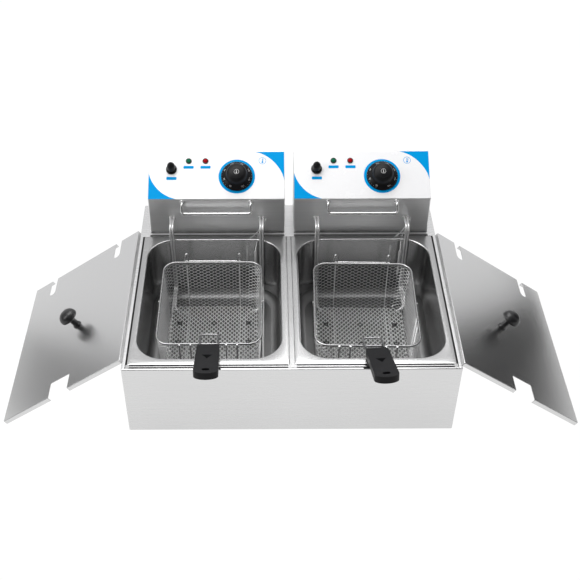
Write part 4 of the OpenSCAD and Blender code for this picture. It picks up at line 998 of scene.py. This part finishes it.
def makeFrame(side):
    b = basket
    bm = bmesh.new()
    hx, hy = b["half"]
    corners = [(-hx, hy, 0), (-hx, -hy, 0), (hx, -hy, 0), (hx, hy, 0)]
    addTube(bm, roundPath(corners, b["corner"], 10, closed=True), b["rim"], 14, closed=True)
    makePiece("basketRim_" + side, bm, materials["rimWire"], "basket_" + side,
              matrix=basketFrame(side), smooth=60)
    bm = bmesh.new()
    low = b["low"]
    topY, lowY = hy + 2.4, hy + 2.4 - b["taper"]
    topX, lowX = hx + 2.4, hx + 2.4 - b["taper"]
    for fx in (-b["pitch"], b["pitch"]):
        upright = [(fx, topY, 1), (fx, lowY, low), (fx, -lowY, low), (fx, -topY, 1)]
        addTube(bm, roundPath(upright, 7, 5), b["frame"], 8)
        hook = [(fx - 3.4, hy + 0.4, 0), (fx - 2.4, hy + 5.5, 9), (fx, hy + 8.2, 17), (fx + 2.4, hy + 5.5, 9),
                (fx + 3.4, hy + 0.4, 0)]
        addTube(bm, roundPath(hook, 2.4, 5), b["frame"], 8)
    crossWire = [(topX, 0, 1), (lowX, 0, low), (-lowX, 0, low), (-topX, 0, 1)]
    addTube(bm, roundPath(crossWire, 7, 5), b["cross"], 8)
    frontStay = [(-30, -topY, 1), (-30, -topY + 1.8, -38), (30, -topY + 1.8, -38), (30, -topY, 1)]
    addTube(bm, roundPath(frontStay, 5, 5), b["frame"], 8)
    addTube(bm, [(-b["pitch"] - 2, hy + 2.4, 1.8), (b["pitch"] + 2, hy + 2.4, 1.8)], b["hookWire"], 8)
    makePiece("basketWires_" + side, bm, materials["wire"], "basket_" + side, ["basket_frame_" + side],
              basketFrame(side), smooth=60)
    # small clips that hold the floor to the frame wires
    bm = bmesh.new()
    for x in (-64, 0, 64):
        for y in b["clipRows"]:
            addTube(bm, circle(b["clips"][0], 20, (x, y), b["floor"] + 1.0), b["clips"][1], 8, closed=True)
    makePiece("basketClips_" + side, bm, materials["gap"], "basket_" + side,
              matrix=basketFrame(side), smooth=60)


handle = {"wire": 1.8, "half": 15.5, "inside": 25.0, "start": 21.0, "length": 97.0, "root": 37.0, "end": 40.0,
          "thick": 12.0, "endDepth": 11.5}


def makeHandle(side):
    h = handle
    bm = bmesh.new()
    path = [(-h["half"], -h["start"] - 40, 0), (-h["half"], h["inside"], 0), (h["half"], h["inside"], 0),
            (h["half"], -h["start"] - 40, 0)]
    addTube(bm, roundPath(path, 6, 6), h["wire"], 12)
    place = handleFrame(side)
    makePiece("handleWires_" + side, bm, materials["rimWire"], "handle_" + side, ["handle_wires_" + side],
              place, smooth=60)
    bm = bmesh.new()
    y0, y1 = -h["start"], -h["start"] - h["length"]
    deep = h["endDepth"]
    outline = []
    for sign in (1, -1):
        for k in range(5):
            a = math.radians(90 * (k if sign > 0 else 4 - k) / 4)
            outline.append((sign * (h["root"] / 2 - 3 + 3 * math.cos(a)), y0 - 3 + 3 * math.sin(a)))
    for k in range(21):
        a = math.pi * k / 20
        outline.append((-h["end"] / 2 * math.cos(a), y1 + deep - deep * math.sin(a)))
    addPrism(bm, outline, -h["thick"] / 2, h["thick"] / 2)
    bevelEdges(bm, 3.4, 5, 60)
    grip = makePiece("handleGrip_" + side, bm, materials["grip"], "handle_" + side, ["handle_grip_" + side],
                     place, smooth=40)
    dimple = bmesh.new()
    y = -h["length"] * 0.63
    top = h["thick"] / 2
    rings = []
    for size, z in ((3.0, top - 5.0), (8.6, top + 0.05), (8.6, top + 2)):
        rear, waist = y + size * 0.5, y - size * 0.2
        rings.append([(size, rear, z), (-size, rear, z), (-size * 0.5, waist, z), (0, y - size, z),
                      (size * 0.5, waist, z)])
    addLoft(dimple, rings, caps=(True, True))
    slot = bmesh.new()
    addPrism(slot, roundOutline(-6.5, 6.5, y1 + 9.5, y1 + 16.5, 3.4, 6), -12, 12)
    carve(grip, [dimple, slot], place)
    resmooth(grip, 40, True)


for side in sides:
    makeWeave(side)
    makeWovenFloor(side)
    makeFrame(side)
    makeHandle(side)
stageNote("baskets made")

# lids
lid = {"size": (267.0, 344.0), "fold": 8.0, "round": 1.3, "corner": 2.5, "notch": (139.0, 44.0, 34.0),
       "slots": (49.5, 216.0), "slot": (14.5, 45.5), "knob": (122.5, -13.5)}


def makeLid(side, sign):
    d = lid
    w, half = d["size"][0], d["size"][1] / 2
    bm = bmesh.new()

    def ring(inset, z):
        return roundRect(inset, w - inset, -half + inset, half - inset, max(d["corner"] - inset, 0.4), 5, z)

    r = d["round"]
    rings = [ring(1.9, -1.0), ring(1.0, -1.9), ring(1.0, -d["fold"]), ring(0, -d["fold"]), ring(0, -r)]
    for k in (1, 2, 3, 4):
        a = math.radians(22.5 * k)
        rings.append(ring(r * (1 - math.cos(a)), -r + r * math.sin(a)))
    addLoft(bm, rings, caps=(True, True))
    if sign < 0:
        bmesh.ops.scale(bm, vec=(-1, 1, 1), verts=bm.verts)
    panel = makePiece("lidSheet_" + side, bm, materials["lid"], "lid_" + side, ["lid_panel_" + side],
                      lidFrame(side), smooth=30)
    nx, nw, nd = d["notch"]
    sw, sd = d["slot"]
    cuts = [roundOutline(nx - nw / 2, nx + nw / 2, -half - 20, -half + nd, 1.5, 4, sign)]
    for sx in d["slots"]:
        cuts.append(roundOutline(sx - sw / 2, sx + sw / 2, half - sd, half + 20, sw / 2 - 0.1, 8, sign))
    cutters = [bmesh.new() for outline in cuts]
    for cut, outline in zip(cutters, cuts):
        addPrism(cut, outline, -20, 10)
    carve(panel, cutters, lidFrame(side))
    resmooth(panel, 30, True)
    bm = bmesh.new()
    profile = [(0, 0), (7.6, 0), (8.0, 0.4), (8.0, 1.4), (7.4, 2.2), (6.4, 3.4), (5.9, 6.0), (5.6, 10.0),
               (5.6, 14.0), (6.0, 16.8), (7.4, 18.4), (10.4, 19.5), (14.0, 20.2), (16.2, 21.0),
               (17.0, 22.4), (16.9, 24.6), (16.4, 27.2), (15.3, 29.9), (13.4, 32.4), (10.8, 34.4),
               (7.6, 35.7), (4.2, 36.3), (0.05, 36.5)]
    addLathe(bm, profile, 56, (sign * d["knob"][0], d["knob"][1], 0))
    makePiece("lidKnob_" + side, bm, materials["lidKnob"], "lid_" + side, ["lid_knob_" + side],
              lidFrame(side), smooth=60)


for side, sign in sides.items():
    makeLid(side, sign)
stageNote("lids made")

# solids that keep their own shape get their finish
plain = {"base_plate": "plate", "rubber_feet": "rubber", "base_screws": "screw"}
paired = {"head_back_cover_": "head", "thermostat_": "ceramic", "thermostat_shaft_": "screw",
          "limit_cutout_": "brown", "terminal_block_": "ceramic", "cable_gland_": "bezel",
          "head_screws_": "screw", "lid_knob_screw_": "screw"}
plain.update({node + side: finish for side in sides for node, finish in paired.items()})
for node, finish in plain.items():
    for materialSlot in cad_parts[node].material_slots:
        materialSlot.material = materials[finish]

# floor, light and camera
studio = {"floor": 6.0, "floorZ": -0.0006, "floorGrey": 0.62, "floorSeen": 0.8, "floorWhite": 1.02,
          "roomDark": 0.10, "backdrop": 0.80}


def stagePiece(name, material, sheets):
    bm = bmesh.new()
    for sheet in sheets:
        bm.faces.new([bm.verts.new(p) for p in sheet])
    mesh = bpy.data.meshes.new(name)
    bm.to_mesh(mesh)
    bm.free()
    mesh.materials.append(material)
    piece = bpy.data.objects.new(name, mesh)
    bpy.context.scene.collection.objects.link(piece)
    return piece


def makeFloor():
    s, z = studio["floor"], studio["floorZ"]
    material = bpy.data.materials.new("paleFloor")
    material.use_nodes = True
    tree = material.node_tree
    principled = tree.nodes["Principled BSDF"]
    principled.inputs["Base Color"].default_value = grey(studio["floorGrey"])
    principled.inputs["Roughness"].default_value = 0.9
    glow = addNode(tree, "ShaderNodeEmission", {"Strength": studio["floorWhite"]})
    both = addNode(tree, "ShaderNodeMixShader")
    path = addNode(tree, "ShaderNodeLightPath")
    # the camera sees it white, and so do mirror-like faces
    seen = addNode(tree, "ShaderNodeMath", {1: studio["floorSeen"]}, operation="MULTIPLY")
    mirrored = addNode(tree, "ShaderNodeMath", operation="MAXIMUM")
    tree.links.new(path.outputs["Is Glossy Ray"], mirrored.inputs[0])
    tree.links.new(path.outputs["Is Transmission Ray"], mirrored.inputs[1])
    tree.links.new(mirrored.outputs[0], seen.inputs[0])
    weight = addNode(tree, "ShaderNodeMath", operation="MAXIMUM")
    tree.links.new(path.outputs["Is Camera Ray"], weight.inputs[0])
    tree.links.new(seen.outputs[0], weight.inputs[1])
    tree.links.new(weight.outputs[0], both.inputs[0])
    tree.links.new(principled.outputs[0], both.inputs[1])
    tree.links.new(glow.outputs[0], both.inputs[2])
    tree.links.new(both.outputs[0], tree.nodes["Material Output"].inputs[0])
    stagePiece("studioFloor", material, [[(-s, -s, z), (s, -s, z), (s, s, z), (-s, s, z)]])


def makeWorld():
    world = bpy.data.worlds.new("studioWorld")
    bpy.context.scene.world = world
    world.use_nodes = True
    tree = world.node_tree
    background = tree.nodes["Background"]
    place = addNode(tree, "ShaderNodeTexCoord")
    parts = addNode(tree, "ShaderNodeSeparateXYZ")
    tree.links.new(place.outputs["Generated"], parts.inputs[0])
    # dark room behind the camera, pale backdrop behind the object
    back = mapRange(tree, parts.outputs["Y"], -0.55, 0.75, studio["roomDark"], studio["backdrop"])
    tree.links.new(mixColour(tree, back, (0, 0, 0, 1), (1, 1, 1.01, 1)), background.inputs["Color"])
    white = addNode(tree, "ShaderNodeBackground", {"Color": (1, 1, 1, 1), "Strength": 1.0})
    both = addNode(tree, "ShaderNodeMixShader")
    path = addNode(tree, "ShaderNodeLightPath")
    tree.links.new(path.outputs["Is Camera Ray"], both.inputs[0])
    tree.links.new(background.outputs[0], both.inputs[1])
    tree.links.new(white.outputs[0], both.inputs[2])
    tree.links.new(both.outputs[0], tree.nodes["World Output"].inputs[0])


# place, size and power of each soft panel, both aimed at the same point
lights = {"topPanel": ((-0.3, 0.5, 2.3), (2.4, 1.4), 46.0),
          "sidePanel": ((-1.9, -0.7, 1.5), (1.0, 1.4), 14.0)}
aim = (0, 0, 0.1)


def addLight(name, place, size, power):
    data = bpy.data.lights.new(name, "AREA")
    data.shape = "RECTANGLE"
    data.size, data.size_y = size
    data.energy = power
    light = bpy.data.objects.new(name, data)
    bpy.context.scene.collection.objects.link(light)
    light.location = place
    light.rotation_euler = (Vector(aim) - Vector(place)).to_track_quat("-Z", "Y").to_euler()


makeFloor()
makeWorld()
for name, values in lights.items():
    addLight(name, *values)

# dark flags beside the object, which the sloping lids mirror: x, near y, far y, height, shade, apron
flagLow = 0.01
flags = {"flagLeft": (-1.0, 0.24, 0.52, 0.5, 0.3, 0.0), "flagRight": (1.0, 0.14, 0.63, 0.6, 0.05, 0.4)}


def makeFlag(name, x, y0, y1, height, shade, apron):
    sheets = [[(x, y0, flagLow), (x, y1, flagLow), (x, y1, height), (x, y0, height)]]
    if apron:
        near = x - math.copysign(apron, x)
        sheets.append([(x, y0, flagLow), (near, y0, flagLow), (near, y1, flagLow), (x, y1, flagLow)])
    cloth = moulded(name + "Cloth", grey(shade), grey(shade * 0.9), 0.8, 0.95, 200.0, 0.1, specular=0.0)
    flag = stagePiece(name, cloth, sheets)
    flag.visible_camera = False
    flag.visible_shadow = False


for name, values in flags.items():
    makeFlag(name, *values)

shot = {"lens": 61.01, "sensor": 36.0, "shiftX": 0.0316, "near": 0.05, "far": 30,
        "place": (-0.040, -1.3076, 1.328), "down": 41.86, "yaw": -0.35}
lens = bpy.data.cameras.new("mainCamera")
lens.sensor_width = shot["sensor"]
lens.lens = shot["lens"]
lens.shift_x = shot["shiftX"]
lens.clip_start, lens.clip_end = shot["near"], shot["far"]
camera = bpy.data.objects.new("mainCamera", lens)
bpy.context.scene.collection.objects.link(camera)
camera.location = shot["place"]
camera.rotation_euler = (math.radians(90 - shot["down"]), 0, math.radians(shot["yaw"]))
bpy.context.scene.camera = camera
bpy.context.scene.view_settings.view_transform = "Standard"
